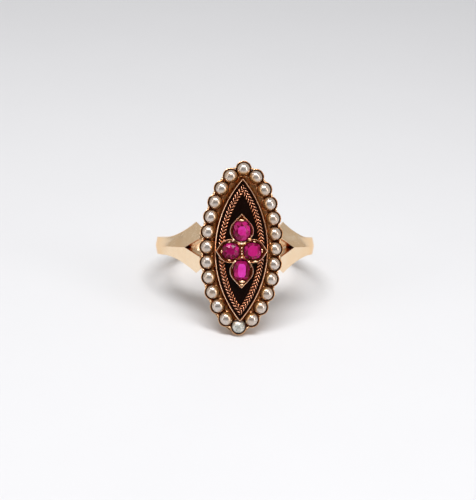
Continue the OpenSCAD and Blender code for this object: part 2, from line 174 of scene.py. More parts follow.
class StoneSizes(bpy.types.PropertyGroup):
    """The quatrefoil collet and its four stones."""

    point_over: length("Side points over", "Side points over the frame's wall", 0.07)
    side_point_l: length("Side points", "Side points beyond their lobes", 0.31)
    lobe_meet: length("Lobes meet", "Side lobes' circles past the middle", 0.04)
    lobe_stand: length("Lobes stand", "Long lobes' circles from the middle", 0.95)
    long_point_l: length("Long points", "Long points beyond their lobes", 0.68)
    drop: length("Drop", "Quatrefoil below the middle of the panel", 0.1)
    collet_t: length("Wall", "Thickness of the quatrefoil's wall", 0.15)
    collet_h: length("Wall height", "Height of the wall above the enamel", 0.62)
    bed_drop: length("Bed", "Bed of the stones below the top of the wall", 0.3)
    crown_h: length("Crown", "A stone's table above its girdle", 0.42)
    pavilion_h: length("Pavilion", "Depth of a stone below its girdle", 0.75)
    girdle_t: length("Girdle", "Thickness of the girdle", 0.06)
    stone_gap: length("Stone gap", "Gap between a stone and its seat", 0.03)
    grain_size: share("Grain size", "Grains against their sizes in the list", 1.2, 0.5, 2)
    square: share("Squareness", "2 is an oval, more is a cushion", 2.7, 2, 4)


class Finishes(bpy.types.PropertyGroup):
    """Colours of the finishes."""

    gold: colour("Gold", "Polished rose-yellow gold", (0.90, 0.60, 0.34, 1))
    gold_pale: colour("Pale gold", "Paler, worn patches of the gold", (0.93, 0.70, 0.46, 1))
    rope: colour("Rope gold", "Rose gold of the outer rope", (1.0, 0.48, 0.29, 1))
    copper: colour("Copper gold", "Redder gold of the inner rope", (0.96, 0.37, 0.18, 1))
    # The frame gold is a paler copy of the gold: a painted highlight for the bright-lit thin edges
    # of the frame and the quatrefoil.
    frame: colour("Frame gold", "Pale worn gold of frame and quatrefoil", (0.97, 0.76, 0.57, 1))
    # The band golds are a paler copy of the gold: painted reflection of the pale floor and room in
    # the band's facets.
    band: colour("Band gold", "Paler polished gold of the band", (0.93, 0.71, 0.48, 1))
    band_pale: colour("Pale band gold", "Palest patches of the band", (0.95, 0.77, 0.56, 1))
    # The two recess colours are patina together with painted shade: they darken the hollows, the
    # feet of walls and the gaps where shade falls.
    patina_and_shade: colour("Patina", "Amber film in the recesses", (0.66, 0.24, 0.05, 1))
    deep_patina_and_shade: colour("Deep patina", "Dark red film in the recesses", (0.10, 0.012, 0.006, 1))
    # The soot colour is black dirt between the rope strands, and also painted shade in those gaps
    # and under the strands.
    soot_and_shade: colour("Soot", "Black film between the strands of the ropes", (0.035, 0.007, 0.004, 1))
    pearl: colour("Pearl", "Cream body of the pearls", (0.60, 0.53, 0.48, 1))
    # The warm pearl colour tints the random warm patches of the sound pearls, and is also a
    # painted reflection of the gold cups at every pearl's edge.
    pearl_warm: colour("Warm pearl", "Amber edges of the pearls", (0.55, 0.29, 0.09, 1))
    pearl_grey: colour("Grey pearl", "Worn nacre of the lowest pearl", (0.66, 0.68, 0.63, 1))
    pearl_flake: colour("Flaked pearl", "Dark layer under flaked nacre", (0.17, 0.17, 0.14, 1))
    # The bright and deep stone colours are painted light and shade: flashes on the tables and dark
    # facets, in place of what light inside the stones gives.
    ruby: colour("Stone", "Magenta of the bright facets", (0.70, 0.02, 0.24, 1))
    ruby_painted_flash: colour("Bright stone", "Pale magenta of the tables", (1.0, 0.08, 0.66, 1))
    ruby_painted_dark: colour("Deep stone", "Crimson of the dark facets", (0.17, 0.0, 0.03, 1))
    enamel: colour("Enamel", "Black enamel", (0.005, 0.0015, 0.001, 1))
    floor: colour("Floor", "Pale floor", (0.725, 0.725, 0.74, 1))


class StageSizes(bpy.types.PropertyGroup):
    """The camera's place against the ring, and the size of the floor."""

    distance: length("Distance", "Camera to the face of the head", 220)
    picture_w: length("Picture width", "Width seen at the face of the head", 57.1)
    above: angle("Above", "Camera above the middle plane of the band", 1.95)
    to_left: angle("To the left", "Camera to the left of the head", 4.4)
    roll: angle("Roll", "Turn of the ring in the picture, right side up", -0.25)
    head_right: length("Head to the right", "Head right of the picture's middle", 0.42)
    head_up: length("Head up", "Head above the picture's middle", 0.22)
    floor_side: length("Floor", "Side of the square floor", 900)


def sizes_of(group):
    """The group's values, with lengths in millimetres."""
    values = {}
    for name, prop in group.bl_rna.properties.items():
        if name in ("rna_type", "name"):
            continue
        value = getattr(group, name)
        if prop.type == "FLOAT" and prop.is_array:
            value = tuple(value)
        values[name] = value / MM if getattr(prop, "unit", "NONE") == "LENGTH" else value
    return types.SimpleNamespace(**values)


def finishes(context):
    """The colours of the finishes."""
    return sizes_of(context.scene.ring_finishes)


def worked_out(context):
    """All sizes with the radii and levels that follow from them, as in the solid model."""
    scene = context.scene
    band = sizes_of(scene.ring_band)
    row = sizes_of(scene.ring_border)
    panel = sizes_of(scene.ring_panel)
    stones = sizes_of(scene.ring_stones)
    band.bore_r = band.bore_d / 2
    band.band_r = band.bore_r + band.band_t
    row.back_n = band.bore_r + row.back_gap
    row.at, pitch = pearl_row(row)
    row.pearl_r = (pitch - row.cup_web) / 2 - row.cup_gap
    row.cup_r = row.pearl_r + row.cup_gap
    row.rim_r = row.cup_r + row.rim_t
    row.foot_r = row.rim_r - row.cup_taper
    row.cup_top = row.plate_t + row.cup_h
    row.cup_floor = row.cup_top - row.cup_depth
    row.fill_top = row.cup_top - row.fill_drop
    row.half_w = row.row_w / 2 + row.rim_r
    band.fork_x = row.half_w + band.fork_reach
    band.cut_x = band.fork_cut * math.sqrt(0.5)
    band.flare_x = band.fork_x + band.flare_l
    band.front_x = band.bore_r * FRONT_SHARE
    band.arm_in_x = row.half_w - band.arm_run
    band.shoulder_x = row.half_w
    band.shoulder_n = row.back_n + row.plate_t + band.shoulder_rise
    band.notch_turn = math.asin((row.half_w + band.notch_l) / band.band_r)
    band.notch_reach = band.shoulder_n * math.sin(band.notch_turn) - (
        row.half_w - band.notch_in
    ) * math.cos(band.notch_turn)
    panel.l = row.row_l - 2 * (row.cup_r + panel.panel_gap)
    panel.w = row.row_w - 2 * (row.cup_r + panel.panel_gap)
    panel.r = ((panel.l / 2) ** 2 + (panel.w / 2) ** 2) / panel.w
    panel.shift = panel.r - panel.w / 2
    panel.floor = row.cup_top + panel.floor_h
    panel.enamel_top = panel.floor + panel.enamel_gap + panel.enamel_t
    panel.top = panel.enamel_top + panel.frame_lip
    panel.rope_start = panel.frame_t + panel.line_w
    panel.field_start = panel.rope_start + 2 * panel.rope_d - panel.rope_lap
    panel.rope_level = panel.enamel_top + panel.rope_rise
    stones.top = panel.enamel_top + stones.collet_h
    stones.bed = stones.top - stones.bed_drop
    stones.girdle = stones.bed + stones.girdle_t
    stones.point_x = panel.w / 2 - panel.frame_t + stones.point_over
    stones.lobe_r = (stones.point_x - stones.side_point_l + stones.lobe_meet) / 2
    stones.lobe_x = stones.lobe_r - stones.lobe_meet
    stones.lobe_y = stones.lobe_r + stones.lobe_stand
    stones.middle = (0, -panel.drop - stones.drop, 0)
    panel.middle = (0, -panel.drop, 0)
    return types.SimpleNamespace(band=band, row=row, panel=panel, stones=stones)


# Places


def finger_hole():
    """Middle of the finger hole at rest, in metres, and the lean of its axis."""
    for mount in frame["record"]["mounts"]:
        if mount["name"] == "finger_bore":
            return Vector(mount["pos_m"]), math.atan2(mount["axis"][1], mount["axis"][2])
    raise RuntimeError("the packed record has no finger_bore")


HOLE_PLACE, REST_TILT = finger_hole()


def lie_down(points):
    """Ring's frame in millimetres to the lying ring in metres: a turn about X, then a shift."""
    points = np.asarray(points, float)
    c, s = math.cos(REST_TILT), math.sin(REST_TILT)
    x, y, z = points[..., 0], points[..., 1], points[..., 2]
    turned = np.stack([x, y * c + z * s, z * c - y * s], -1)
    return turned * MM + np.array(HOLE_PLACE)


def leaned(x, y, turn):
    """x and y after a clockwise turn."""
    c, s = math.cos(turn), math.sin(turn)
    return x * c + y * s, y * c - x * s


def on_head(points, row, lean=0.0, middle=(0, 0, 0)):
    """Head's frame to the ring's frame, after a clockwise lean and a move to middle."""
    points = np.asarray(points, float)
    x, y = leaned(points[..., 0], points[..., 1], lean)
    return np.stack([x + middle[0], -(row.back_n + points[..., 2]), y + middle[1]], -1)


def pearl_row(row):
    """The pearls' centres, clockwise from the upper tip, and the distance between two.

    The row is |x/a|^roundness + (y/b)^2 = 1, walked at equal steps of its length.
    """
    quarter = row.pearl_count // 4
    turn = np.radians(np.linspace(0, 90, 61))
    x = row.row_w / 2 * np.cos(turn) ** (2 / row.row_round)
    x[-1] = 0
    y = row.row_l / 2 * np.sin(turn)
    walked = np.concatenate([[0], np.cumsum(np.hypot(np.diff(x), np.diff(y)))])
    pitch = walked[-1] / quarter
    stops = np.interp(pitch * np.arange(quarter + 1), walked, turn)
    qx = row.row_w / 2 * np.cos(stops) ** (2 / row.row_round)
    qx[-1] = 0
    qy = row.row_l / 2 * np.sin(stops)
    x = np.concatenate([qx[:0:-1], qx[:-1], -qx[:0:-1], -qx[:-1]])
    y = np.concatenate([qy[:0:-1], -qy[:-1], -qy[:0:-1], qy[:-1]])
    return np.stack([x, y], -1), pitch


# Meshes


def grid_faces(rows, columns, round_rows=False, round_columns=False):
    """Four-sided faces of a grid of rows x columns points, joined up where it is round."""
    r = np.arange(rows if round_rows else rows - 1)
    c = np.arange(columns if round_columns else columns - 1)
    r, c = np.meshgrid(r, c, indexing="ij")
    r2, c2 = (r + 1) % rows, (c + 1) % columns
    corners = [r * columns + c, r * columns + c2, r2 * columns + c2, r2 * columns + c]
    return np.stack(corners, -1).reshape(-1, 4)


def face_outwards(work):
    """Turns faces outwards, and turns a whole shell round if its volume comes out negative."""
    bmesh.ops.recalc_face_normals(work, faces=work.faces)
    waiting = set(work.faces)
    while waiting:
        shell = [waiting.pop()]
        for face in shell:
            near = {other for edge in face.edges for other in edge.link_faces} & waiting
            waiting -= near
            shell.extend(near)
        volume = sum(f.calc_center_median().dot(f.normal) * f.calc_area() for f in shell)
        if volume < 0:
            bmesh.ops.reverse_faces(work, faces=shell)


def shown(name, mesh, material):
    """A new object in the scene for a finished mesh."""
    mesh.materials.append(material)
    made = bpy.data.objects.new(name, mesh)
    bpy.context.scene.collection.objects.link(made)
    return made


class Shell:
    """Collects grids of points. Each point has a recess value: how much patina and painted shade
    its gold gets, and on a pearl how much painted amber reflection.
    """

    def __init__(self):
        self.points = []
        self.recess = []
        self.faces = []
        self.total = 0

    def grid(self, points, round_rows=False, round_columns=False, recess=0.0, drop=None):
        """Adds one grid. drop is a mask of the faces to leave out."""
        points = np.asarray(points, float)
        rows, columns = points.shape[:2]
        faces = grid_faces(rows, columns, round_rows, round_columns)
        if drop is not None:
            faces = faces[~drop(points.reshape(-1, 3)[faces])]
        self.points.append(points.reshape(-1, 3))
        self.recess.append(np.broadcast_to(recess, (rows, columns)).reshape(-1))
        self.faces.append(faces + self.total)
        self.total += rows * columns

    def piece(self, name, material, slot, sharp=40.0, weld=0.0004):
        """Makes the mesh: doubles merged, slivers dissolved, faces turned outwards."""
        points = np.concatenate(self.points)
        faces = np.concatenate(self.faces)
        mesh = bpy.data.meshes.new(name)
        mesh.from_pydata(lie_down(points).tolist(), [], faces.tolist())
        layer = mesh.attributes.new("recess", "FLOAT", "POINT")
        layer.data.foreach_set("value", np.concatenate(self.recess).astype(np.float32))
        work = bmesh.new()
        work.from_mesh(mesh)
        bmesh.ops.remove_doubles(work, verts=work.verts, dist=weld * MM)
        bmesh.ops.dissolve_degenerate(work, edges=work.edges, dist=weld * MM / 4)
        loose = [v for v in work.verts if not v.link_faces]
        bmesh.ops.delete(work, geom=loose, context="VERTS")
        face_outwards(work)
        work.to_mesh(mesh)
        work.free()
        mesh.shade_smooth()
        mesh.set_sharp_from_angle(angle=math.radians(sharp))
        piece = shown(name, mesh, material)
        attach(piece, "root")
        return piece


def pole(ring):
    """One row that gathers a ring of points in its middle."""
    return np.broadcast_to(ring.mean(0), ring.shape)


def capped(rows):
    """The rows between two poles, so that the grid is closed at both ends."""
    return np.concatenate([[pole(rows[0])], rows, [pole(rows[-1])]])


def once_round(steps):
    """Equal turns, once round."""
    return np.arange(steps) * 2 * math.pi / steps


def polar(reach, turn):
    """Points of a plane at a distance and a turn from its middle."""
    return np.stack([reach * np.cos(turn), reach * np.sin(turn)], -1)


def smooth_step(value, start, end):
    """0 before start, 1 after end, with a soft rise between."""
    t = np.clip((value - start) / (end - start), 0, 1)
    return t * t * (3 - 2 * t)


# Finishes


def feed(tree, made, inputs):
    """Links the node's inputs to sockets, or sets them to plain values."""
    for key, value in inputs.items():
        if hasattr(value, "is_output"):
            tree.links.new(value, made.inputs[key])
        else:
            made.inputs[key].default_value = value


def node(tree, kind, inputs=None, **settings):
    """Adds a node, with its settings and inputs."""
    made = tree.nodes.new(kind)
    for key, value in settings.items():
        setattr(made, key, value)
    feed(tree, made, inputs or {})
    return made


def noise(tree, where, scale, detail=3.0, roughness=0.55, distortion=0.0):
    """Noise from 0 to 1 over a position, its scale per millimetre."""
    inputs = {
        "Vector": where,
        "Scale": scale / MM,
        "Detail": detail,
        "Roughness": roughness,
        "Distortion": distortion,
    }
    return node(tree, "ShaderNodeTexNoise", inputs).outputs["Fac"]


def spread(tree, value, low, high, to_low=0.0, to_high=1.0):
    """Stretches low..high to to_low..to_high, clamped."""
    inputs = {
        "Value": value,
        "From Min": low,
        "From Max": high,
        "To Min": to_low,
        "To Max": to_high,
    }
    return node(tree, "ShaderNodeMapRange", inputs, clamp=True).outputs["Result"]


def maths(tree, operation, a, b):
    """One sum of two values."""
    return node(tree, "ShaderNodeMath", {0: a, 1: b}, operation=operation).outputs[0]


def plus(tree, value, other, factor):
    """value + other x factor."""
    return maths(tree, "ADD", value, maths(tree, "MULTIPLY", other, factor))


def mix(tree, factor, a, b):
    """Mixes two colours."""
    inputs = {0: factor, 6: a, 7: b}
    return node(tree, "ShaderNodeMix", inputs, data_type="RGBA").outputs[2]


def recess_of(tree):
    """The recess of the mesh's points: patina and painted shade on the gold, painted amber
    reflection on the pearls.
    """
    return node(tree, "ShaderNodeAttribute", attribute_name="recess").outputs["Fac"]


WEAR = "Fine wear"
HAIRS = (
    # turn and stretch of the hair scratches
    ((0.3, 0.2, 0.5), (1, 9, 1)),
    ((1.1, -0.4, 2.0), (1, 12, 2)),
)


def wear_group():
    """Fine wear: broad patches, hair scratches in two directions, and small dents."""
    if WEAR in bpy.data.node_groups:
        return bpy.data.node_groups[WEAR]
    tree = bpy.data.node_groups.new(WEAR, "ShaderNodeTree")
    for name in ("Patch scale", "Scratch scale"):
        tree.interface.new_socket(name, in_out="INPUT", socket_type="NodeSocketFloat")
    for name in ("Patches", "Scratches", "Height"):
        tree.interface.new_socket(name, in_out="OUTPUT", socket_type="NodeSocketFloat")
    given = tree.nodes.new("NodeGroupInput")
    where = node(tree, "ShaderNodeTexCoord").outputs["Object"]

    def texture(place, scale, detail, roughness):
        inputs = {"Vector": place, "Scale": given.outputs[scale]}
        inputs |= {"Detail": detail, "Roughness": roughness}
        return node(tree, "ShaderNodeTexNoise", inputs).outputs["Fac"]

    patches = texture(where, "Patch scale", 4, 0.6)
    lines = []
    for turn, stretch in HAIRS:
        inputs = {"Vector": where, "Rotation": turn, "Scale": stretch}
        along = node(tree, "ShaderNodeMapping", inputs).outputs[0]
        lines.append(spread(tree, texture(along, "Scratch scale", 2, 0.5), 0.62, 0.72))
    scratches = maths(tree, "MAXIMUM", *lines)
    dents = maths(tree, "MULTIPLY", patches, 0.8)
    height = maths(tree, "SUBTRACT", dents, maths(tree, "MULTIPLY", scratches, 0.25))
    out = tree.nodes.new("NodeGroupOutput")
    feed(tree, out, {"Patches": patches, "Scratches": scratches, "Height": height})
    return tree


def blank(name):
    """A new material with its tree, its shader and its object coordinates."""
    material = bpy.data.materials.new(name)
    material.use_nodes = True
    tree = material.node_tree
    shader = tree.nodes["Principled BSDF"]
    where = node(tree, "ShaderNodeTexCoord").outputs["Object"]
    return material, tree, shader, where


def wear(tree, patch_scale, scratch_scale):
    """Places the wear group, its scales per millimetre."""
    inputs = {"Patch scale": patch_scale / MM, "Scratch scale": scratch_scale / MM}
    return node(tree, "ShaderNodeGroup", node_tree=wear_group(), inputs=inputs)


def bump(tree, height, strength, distance):
    """A normal from a height. Distance is its depth in millimetres."""
    inputs = {"Height": height, "Strength": strength, "Distance": distance * MM}
    return node(tree, "ShaderNodeBump", inputs).outputs[0]


GOLDS = {
    # name: body, paler patches, thin and thick recess colours with painted shade, roughness
    "Rose gold": ("gold", "gold_pale", "patina_and_shade", "deep_patina_and_shade", 0.17),
    "Band gold": ("band", "band_pale", "patina_and_shade", "deep_patina_and_shade", 0.16),
    "Frame gold": ("frame", "frame", "patina_and_shade", "deep_patina_and_shade", 0.2),
    "Rope gold 1": ("rope", "rope", "soot_and_shade", "soot_and_shade", 0.17),
    "Rope gold 2": ("copper", "rope", "soot_and_shade", "soot_and_shade", 0.17),
}


def gold_material(finish, name):
    """Polished gold: paler worn patches, hair scratches, and patina with painted shade in the
    recesses.
    """
    material, tree, shader, where = blank(name)
    *colours, rough = GOLDS[name]
    body, pale, thin, thick = (getattr(finish, colour) for colour in colours)
    worn = wear(tree, 0.55, 2.2).outputs
    body = mix(tree, spread(tree, worn["Patches"], 0.35, 0.65), body, pale)
    # The recess value, broken up by noise, mixes patina and painted shade into the hollows.
    broken = spread(tree, noise(tree, where, 3.0, 4.0), 0.3, 0.7, 0.55, 1.25)
    film_and_shade = maths(tree, "MULTIPLY", recess_of(tree), broken)
    film_and_shade = node(tree, "ShaderNodeClamp", {"Value": film_and_shade}).outputs[0]
    body = mix(tree, spread(tree, film_and_shade, 0.0, 0.55), body, thin)
    body = mix(tree, spread(tree, film_and_shade, 0.5, 0.95), body, thick)
    roughness = spread(tree, worn["Patches"], 0.3, 0.7, rough - 0.05, rough + 0.07)
    roughness = plus(tree, roughness, worn["Scratches"], 0.12)
    inputs = {
        "Base Color": body,
        "Roughness": plus(tree, roughness, film_and_shade, 0.25),
        "Metallic": 1.0,
        "Specular Tint": (1.0, 0.82, 0.62, 1),
        "Normal": bump(tree, worn["Height"], 0.35, 0.03),
    }
    feed(tree, shader, inputs)
    return material


def pearl_material(finish, name, base, warm, flake, rough, flaked):
    """Satin nacre: cream with warm patches, painted amber reflection at its edges, and flaked
    where it is worn.
    """
    material, tree, shader, where = blank(name)
    patches = noise(tree, where, 0.9, 3.0)
    body = mix(tree, spread(tree, patches, 0.42, 0.68, 0.0, 0.35), base, warm)
    # Painted reflection: the recess value paints the amber of the gold cups onto the pearl's
    # edges.
    amber = spread(tree, recess_of(tree), 0.0, 1.0, 0.0, 0.95 - flaked)
    body = mix(tree, amber, body, finish.pearl_warm)
    flakes = spread(tree, noise(tree, where, 1.5, 6.0, 0.7, 1.6), 0.5, 0.6, 0.0, flaked)
    roughness = spread(tree, patches, 0.3, 0.7, rough, rough + 0.12)
    ripples = plus(tree, noise(tree, where, 1.6, 2.0), flakes, -0.6)
    inputs = {
        "Base Color": mix(tree, flakes, body, flake),
        "Roughness": plus(tree, roughness, flakes, 0.3),
        "IOR": 1.6,
        "Metallic": 0.7,
        "Coat Weight": 0.6,
        "Coat Roughness": 0.09,
        "Subsurface Weight": 0.25,
        "Subsurface Radius": (1.0, 0.7, 0.5),
        "Subsurface Scale": 0.3 * MM,
        "Normal": bump(tree, ripples, 0.25, 0.08),
    }
    feed(tree, shader, inputs)
    return material


def enamel_material(finish):
    """Black glass enamel with a few brown specks and tiny pits."""
    material, tree, shader, where = blank("Black enamel")
    specks = spread(tree, noise(tree, where, 2.4, 5.0, 0.7), 0.66, 0.74)
    roughness = spread(tree, noise(tree, where, 0.7, 3.0), 0.3, 0.7, 0.10, 0.2)
    inputs = {
        "Base Color": mix(tree, specks, finish.enamel, (0.07, 0.035, 0.02, 1)),
        "Roughness": plus(tree, roughness, specks, 0.3),
        "Specular IOR Level": 0.38,
        "Normal": bump(tree, noise(tree, where, 1.1, 4.0), 0.2, 0.03),
    }
    feed(tree, shader, inputs)
    return material


def ruby_material(finish):
    """Clear pink-red stone with faint silk. Each facet is painted lighter or darker by its shade
    value, in place of the flashes and dark facets that light gives.
    """
    material, tree, shader, where = blank("Ruby")
    silk = noise(tree, where, 1.3, 5.0, 0.65, 0.8)
    facet = node(tree, "ShaderNodeAttribute", attribute_name="shade").outputs["Fac"]
    shade = maths(tree, "ADD", facet, spread(tree, silk, 0.35, 0.65, -0.15, 0.2))
    body = mix(tree, spread(tree, shade, 0.0, 0.9), finish.ruby, finish.ruby_painted_dark)
    inputs = {
        "Base Color": mix(tree, spread(tree, shade, -0.6, -0.05), finish.ruby_painted_flash, body),
        "Roughness": spread(tree, silk, 0.45, 0.75, 0.0, 0.04),
        "IOR": 1.5,
        "Specular IOR Level": 0.1,
        "Transmission Weight": 0.35,
    }
    feed(tree, shader, inputs)
    return material


def floor_material(finish):
    """Pale matt paper with a faint grain."""
    material, tree, shader, where = blank("Pale floor")
    dull = tuple(c * 0.97 for c in finish.floor[:3]) + (1,)
    paper = mix(tree, noise(tree, where, 0.05, 4.0), dull, finish.floor)
    feed(tree, shader, {"Base Color": paper, "Roughness": 0.7})
    return material


def made_once(name, make, *values):
    """The named material, made the first time that it is asked for."""
    return bpy.data.materials.get(name) or make(*values)


def gold(context, name="Rose gold"):
    """One of the golds, made the first time that it is asked for."""
    return made_once(name, gold_material, finishes(context), name)


# The band


def half_width(x, b):
    """Half the band's width at x: plain, then the flare, then the square cut of the arm's end."""
    flare = np.clip((b.flare_x - x) / b.flare_l, 0, 1) ** b.flare_curve
    width = b.side_w / 2 + (b.fork_w - b.side_w) / 2 * flare
    return width - np.clip(b.fork_x - x, 0, b.cut_x)


def shoulder_line(x, b):
    """Distance of the band's ridge in front of the finger hole's middle, at x.

    It is the band's circle, or where that lies further out the straight line that leaves a
    slightly smaller circle as its tangent and ends level with the arms.
    """
    sunk = b.band_r - b.shoulder_sink
    reach = math.hypot(b.shoulder_x, b.shoulder_n)
    turn = math.atan2(b.shoulder_x, b.shoulder_n) + math.acos(sunk / reach)
    circle = np.sqrt(np.maximum(b.band_r**2 - x**2, 0))
    line = (sunk - x * math.sin(turn)) / math.cos(turn)
    line = np.where(x < sunk * math.sin(turn), line, 0)
    return np.where(x < b.shoulder_x, b.shoulder_n, np.maximum(circle, line))


def notch_gap(x, n, b):
    """Half the notch's width at a point: it widens from its tip towards the head."""
    along = n * math.sin(b.notch_turn) - x * math.cos(b.notch_turn)
    return b.notch_w / 2 * np.clip(along / b.notch_reach, 0, 1)


# Columns from the arm's end: under the head, across the cut, along the front, round the back.
ARM_COLUMNS = 18
CUT_COLUMNS = 12
FRONT_COLUMNS = 96
BACK_COLUMNS = 120
NOTCH_ROWS = 6


def band_section(b):
    """Rows of points of the upper right quarter of the band, as [row, column, xyz].

    The columns run from the arm's end to the back of the band. The rows go round the
    section: notch edge, outer face, side wall, finger hole, notch wall.
    """
    front = np.concatenate(
        [
            np.linspace(b.arm_in_x, b.fork_x - b.cut_x, ARM_COLUMNS)[:-1],
            np.linspace(b.fork_x - b.cut_x, b.fork_x, CUT_COLUMNS)[:-1],
            np.linspace(b.fork_x, b.front_x, FRONT_COLUMNS),
        ]
    )
    back = np.linspace(0, 1, BACK_COLUMNS + 1)[1:]
    fronts = len(front)
    columns = fronts + len(back)

    def outer(z):
        """Outer points at height z: the ridge's outline drawn in by the fall."""
        k = 1 - b.ridge_fall * z / b.band_r
        x = np.empty(columns)
        n = np.empty(columns)
        x[:fronts] = front
        n[:fronts] = k[:fronts] * shoulder_line(front / k[:fronts], b)
        start = np.arcsin(b.front_x / (k[fronts:] * b.band_r))
        turn = start + back * (math.pi - start)
        x[fronts:] = k[fronts:] * b.band_r * np.sin(turn)
        n[fronts:] = k[fronts:] * b.band_r * np.cos(turn)
        return x, n

    start = math.asin(b.front_x / b.bore_r)
    turn = start + back * (math.pi - start)
    in_x = np.concatenate([front, b.bore_r * np.sin(turn)])
    in_n = np.concatenate([np.sqrt(b.bore_r**2 - front**2), b.bore_r * np.cos(turn)])

    def width_at(x, n):
        """Half width of a point: the flare in front, the plain taper behind."""
        behind = np.clip(-n / b.band_r, 0, 1)
        taper = b.side_w / 2 + (b.back_w - b.side_w) / 2 * behind
        return np.where(n > 0, half_width(x, b), taper)

    ox, on = outer(np.full(columns, b.side_w / 2))
    out_w = width_at(ox, on)
    ox, on = outer(out_w)
    out_w = width_at(ox, on)
    in_w = width_at(in_x, in_n)
    gap_x, gap_n = outer(np.zeros(columns))
    out_g = notch_gap(gap_x, gap_n, b)
    in_g = notch_gap(in_x, in_n, b)
    away_x, away_n = ox - in_x, on - in_n
    away = np.hypot(away_x, away_n)
    away_x, away_n = away_x / away, away_n / away
    r = b.edge_r
    r_out = np.minimum(r, out_g)
    r_in = np.minimum(r, in_g)
    rows = []

    def add(x, n, z):
        rows.append(np.stack([x, -n, z], -1))

    for turn in np.radians([90, 60, 30]):
        z = out_g + r_out - r_out * math.sin(turn)
        x, n = outer(z)
        sink = r_out * (1 - math.cos(turn))
        add(x - away_x * sink, n - away_n * sink, z)
    for t in np.linspace(0, 1, 16):
        z = (out_g + r_out) * (1 - t) + (out_w - r) * t
        add(*outer(z), z)
    for turn in np.radians([30, 60, 90]):
        z = out_w - r + r * math.sin(turn)
        x, n = outer(z)
        sink = r * (1 - math.cos(turn))
        add(x - away_x * sink, n - away_n * sink, z)
    edge = rows[-1]
    inner_edge = np.stack([in_x + away_x * r, -(in_n + away_n * r), in_w], -1)
    for t in (0.2, 0.4, 0.6, 0.8):
        rows.append(edge * (1 - t) + inner_edge * t)
    for turn in np.radians([90, 60, 30, 0]):
        lift = r * (1 - math.cos(turn))
        add(in_x + away_x * lift, in_n + away_n * lift, in_w - r + r * math.sin(turn))
    for t in np.linspace(0, 1, 9)[1:]:
        add(in_x, in_n, (in_w - r) * (1 - t) + (in_g + r_in) * t)
    for turn in np.radians([30, 60, 90]):
        lift = r_in * (1 - math.cos(turn))
        z = in_g + r_in - r_in * math.sin(turn)
        add(in_x + away_x * lift, in_n + away_n * lift, z)
    low, high = rows[-1], rows[0]
    for t in np.linspace(0, 1, NOTCH_ROWS + 2)[1:-1]:
        point = low * (1 - t) + high * t
        point[:, 2] = notch_gap(point[:, 0], -point[:, 1], b)
        rows.append(point)
    return np.array(rows)


CREASE_LOW = 75
CREASE_SLANT = 19
CREASE_LENGTH = 24
CREASE_FADE = (28, 50)


def creased(points, b):
    """Turns each upper shoulder facet slightly, in front of a slanting crease.

    The crease starts at the ridge, CREASE_LOW degrees round from the head, and comes
    CREASE_SLANT degrees nearer to the head on its way to the upper edge. In front of it the
    face drops by a share of the distance from it and of the height.
    """
    x, y, z = points[..., 0], points[..., 1], points[..., 2]
    turn = np.arctan2(np.abs(x), -y)
    rise = np.clip(z / (b.side_w / 2), 0, 1.4)
    crease = math.radians(CREASE_LOW) - math.radians(CREASE_SLANT) * rise
    past = np.clip(crease - turn, 0, math.radians(CREASE_LENGTH)) * b.band_r
    outside = np.clip((np.hypot(x, y) - b.bore_r) / b.band_t, 0, 1)
    drop = b.crease_drop * past * rise * outside
    fade = smooth_step(turn, *np.radians(CREASE_FADE))
    k = 1 - drop * fade / np.hypot(x, y)
    return np.stack([x * k, y * k, z], -1)


def build_band(context):
    """The forked band, from four mirrored quarters."""
    b = worked_out(context).band
    quarter = band_section(b)
    shell = Shell()

    def on_middle(corners):
        return np.all(np.abs(corners[..., 2]) < 1e-6, axis=1)

    for side in (1, -1):
        for half in (1, -1):
            points = quarter * np.array([side, 1, half])
            if half > 0:
                points = creased(points, b)
            # Painted shade: the notch walls get more recess where the notch is narrow, the notch
            # edges a little, and the arm ends' caps much.
            depth = np.zeros(points.shape[:2])
            wall = points[-NOTCH_ROWS:]
            gap = notch_gap(np.abs(wall[..., 0]), -wall[..., 1], b)
            depth[-NOTCH_ROWS:] = 0.75 - 0.6 * smooth_step(gap, 0.1, 0.5)
            depth[0] = 0.2
            shell.grid(points, round_rows=True, recess=depth, drop=on_middle)
            end = points[:, :1]
            shell.grid(np.concatenate([end, pole(end)], 1), round_rows=True, recess=0.7)
    piece = shell.piece("ring_band", gold(context, "Band gold"), "gold", sharp=17)
    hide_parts("ring_mount")


# The head


def plate_outline(row):
    """The back plate's outline: the pearl row's curve with squared ends."""
    turn = once_round(160) + math.pi / 160
    cos = np.cos(turn)
    half_w = row.row_w / 2 + row.foot_r - row.plate_inset
    half_l = row.row_l / 2 + row.foot_r
    x = half_w * np.sign(cos) * np.abs(cos) ** (2 / row.row_round)
    end = half_l - row.plate_end
    return np.stack([x, np.clip(half_l * np.sin(turn), -end, end - row.plate_top)], -1)


def levels(outline_at, profile):
    """Rows of an outline at each (inset, level) of a profile."""
    rows = []
    for inset, level in profile:
        outline = outline_at(inset)
        rows.append(np.concatenate([outline, np.full((len(outline), 1), level)], 1))
    return np.array(rows)


def build_plate(context):
    """The plain back plate of the head. It is sheared, so its squared ends stay level."""
    row = worked_out(context).row
    outline = plate_outline(row)
    half = np.abs(outline).max(0)

    def at(inset):
        return outline * (1 - inset / half)

    t = row.plate_t
    profile = [(0.04, 0), (0.012, 0.012), (0, 0.04), (0, t - 0.04), (0.04, t)]
    rows = levels(at, profile)
    rows[..., 0] += rows[..., 1] * math.tan(row.lean)
    rows = capped(rows)
    shell = Shell()
    shell.grid(on_head(rows, row), round_columns=True, recess=0.1)
    piece = shell.piece("back_plate", gold(context), "gold", sharp=35)
    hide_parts("ring_mount")


CUP_STEPS = 72
LIP_DIP = 0.3
LIP_DIP_ENDS = (0.62, 0.4)
LIP_WAVE = 0.02
FOOT_SUNK = 0.05
CUP_DEPTHS = (0.8, 0.8, 0.75, 0.35, 0.12, 0, 0, 0.3, 0.9, 1.1, 1.2, 1.2, 1.2, 1.2)


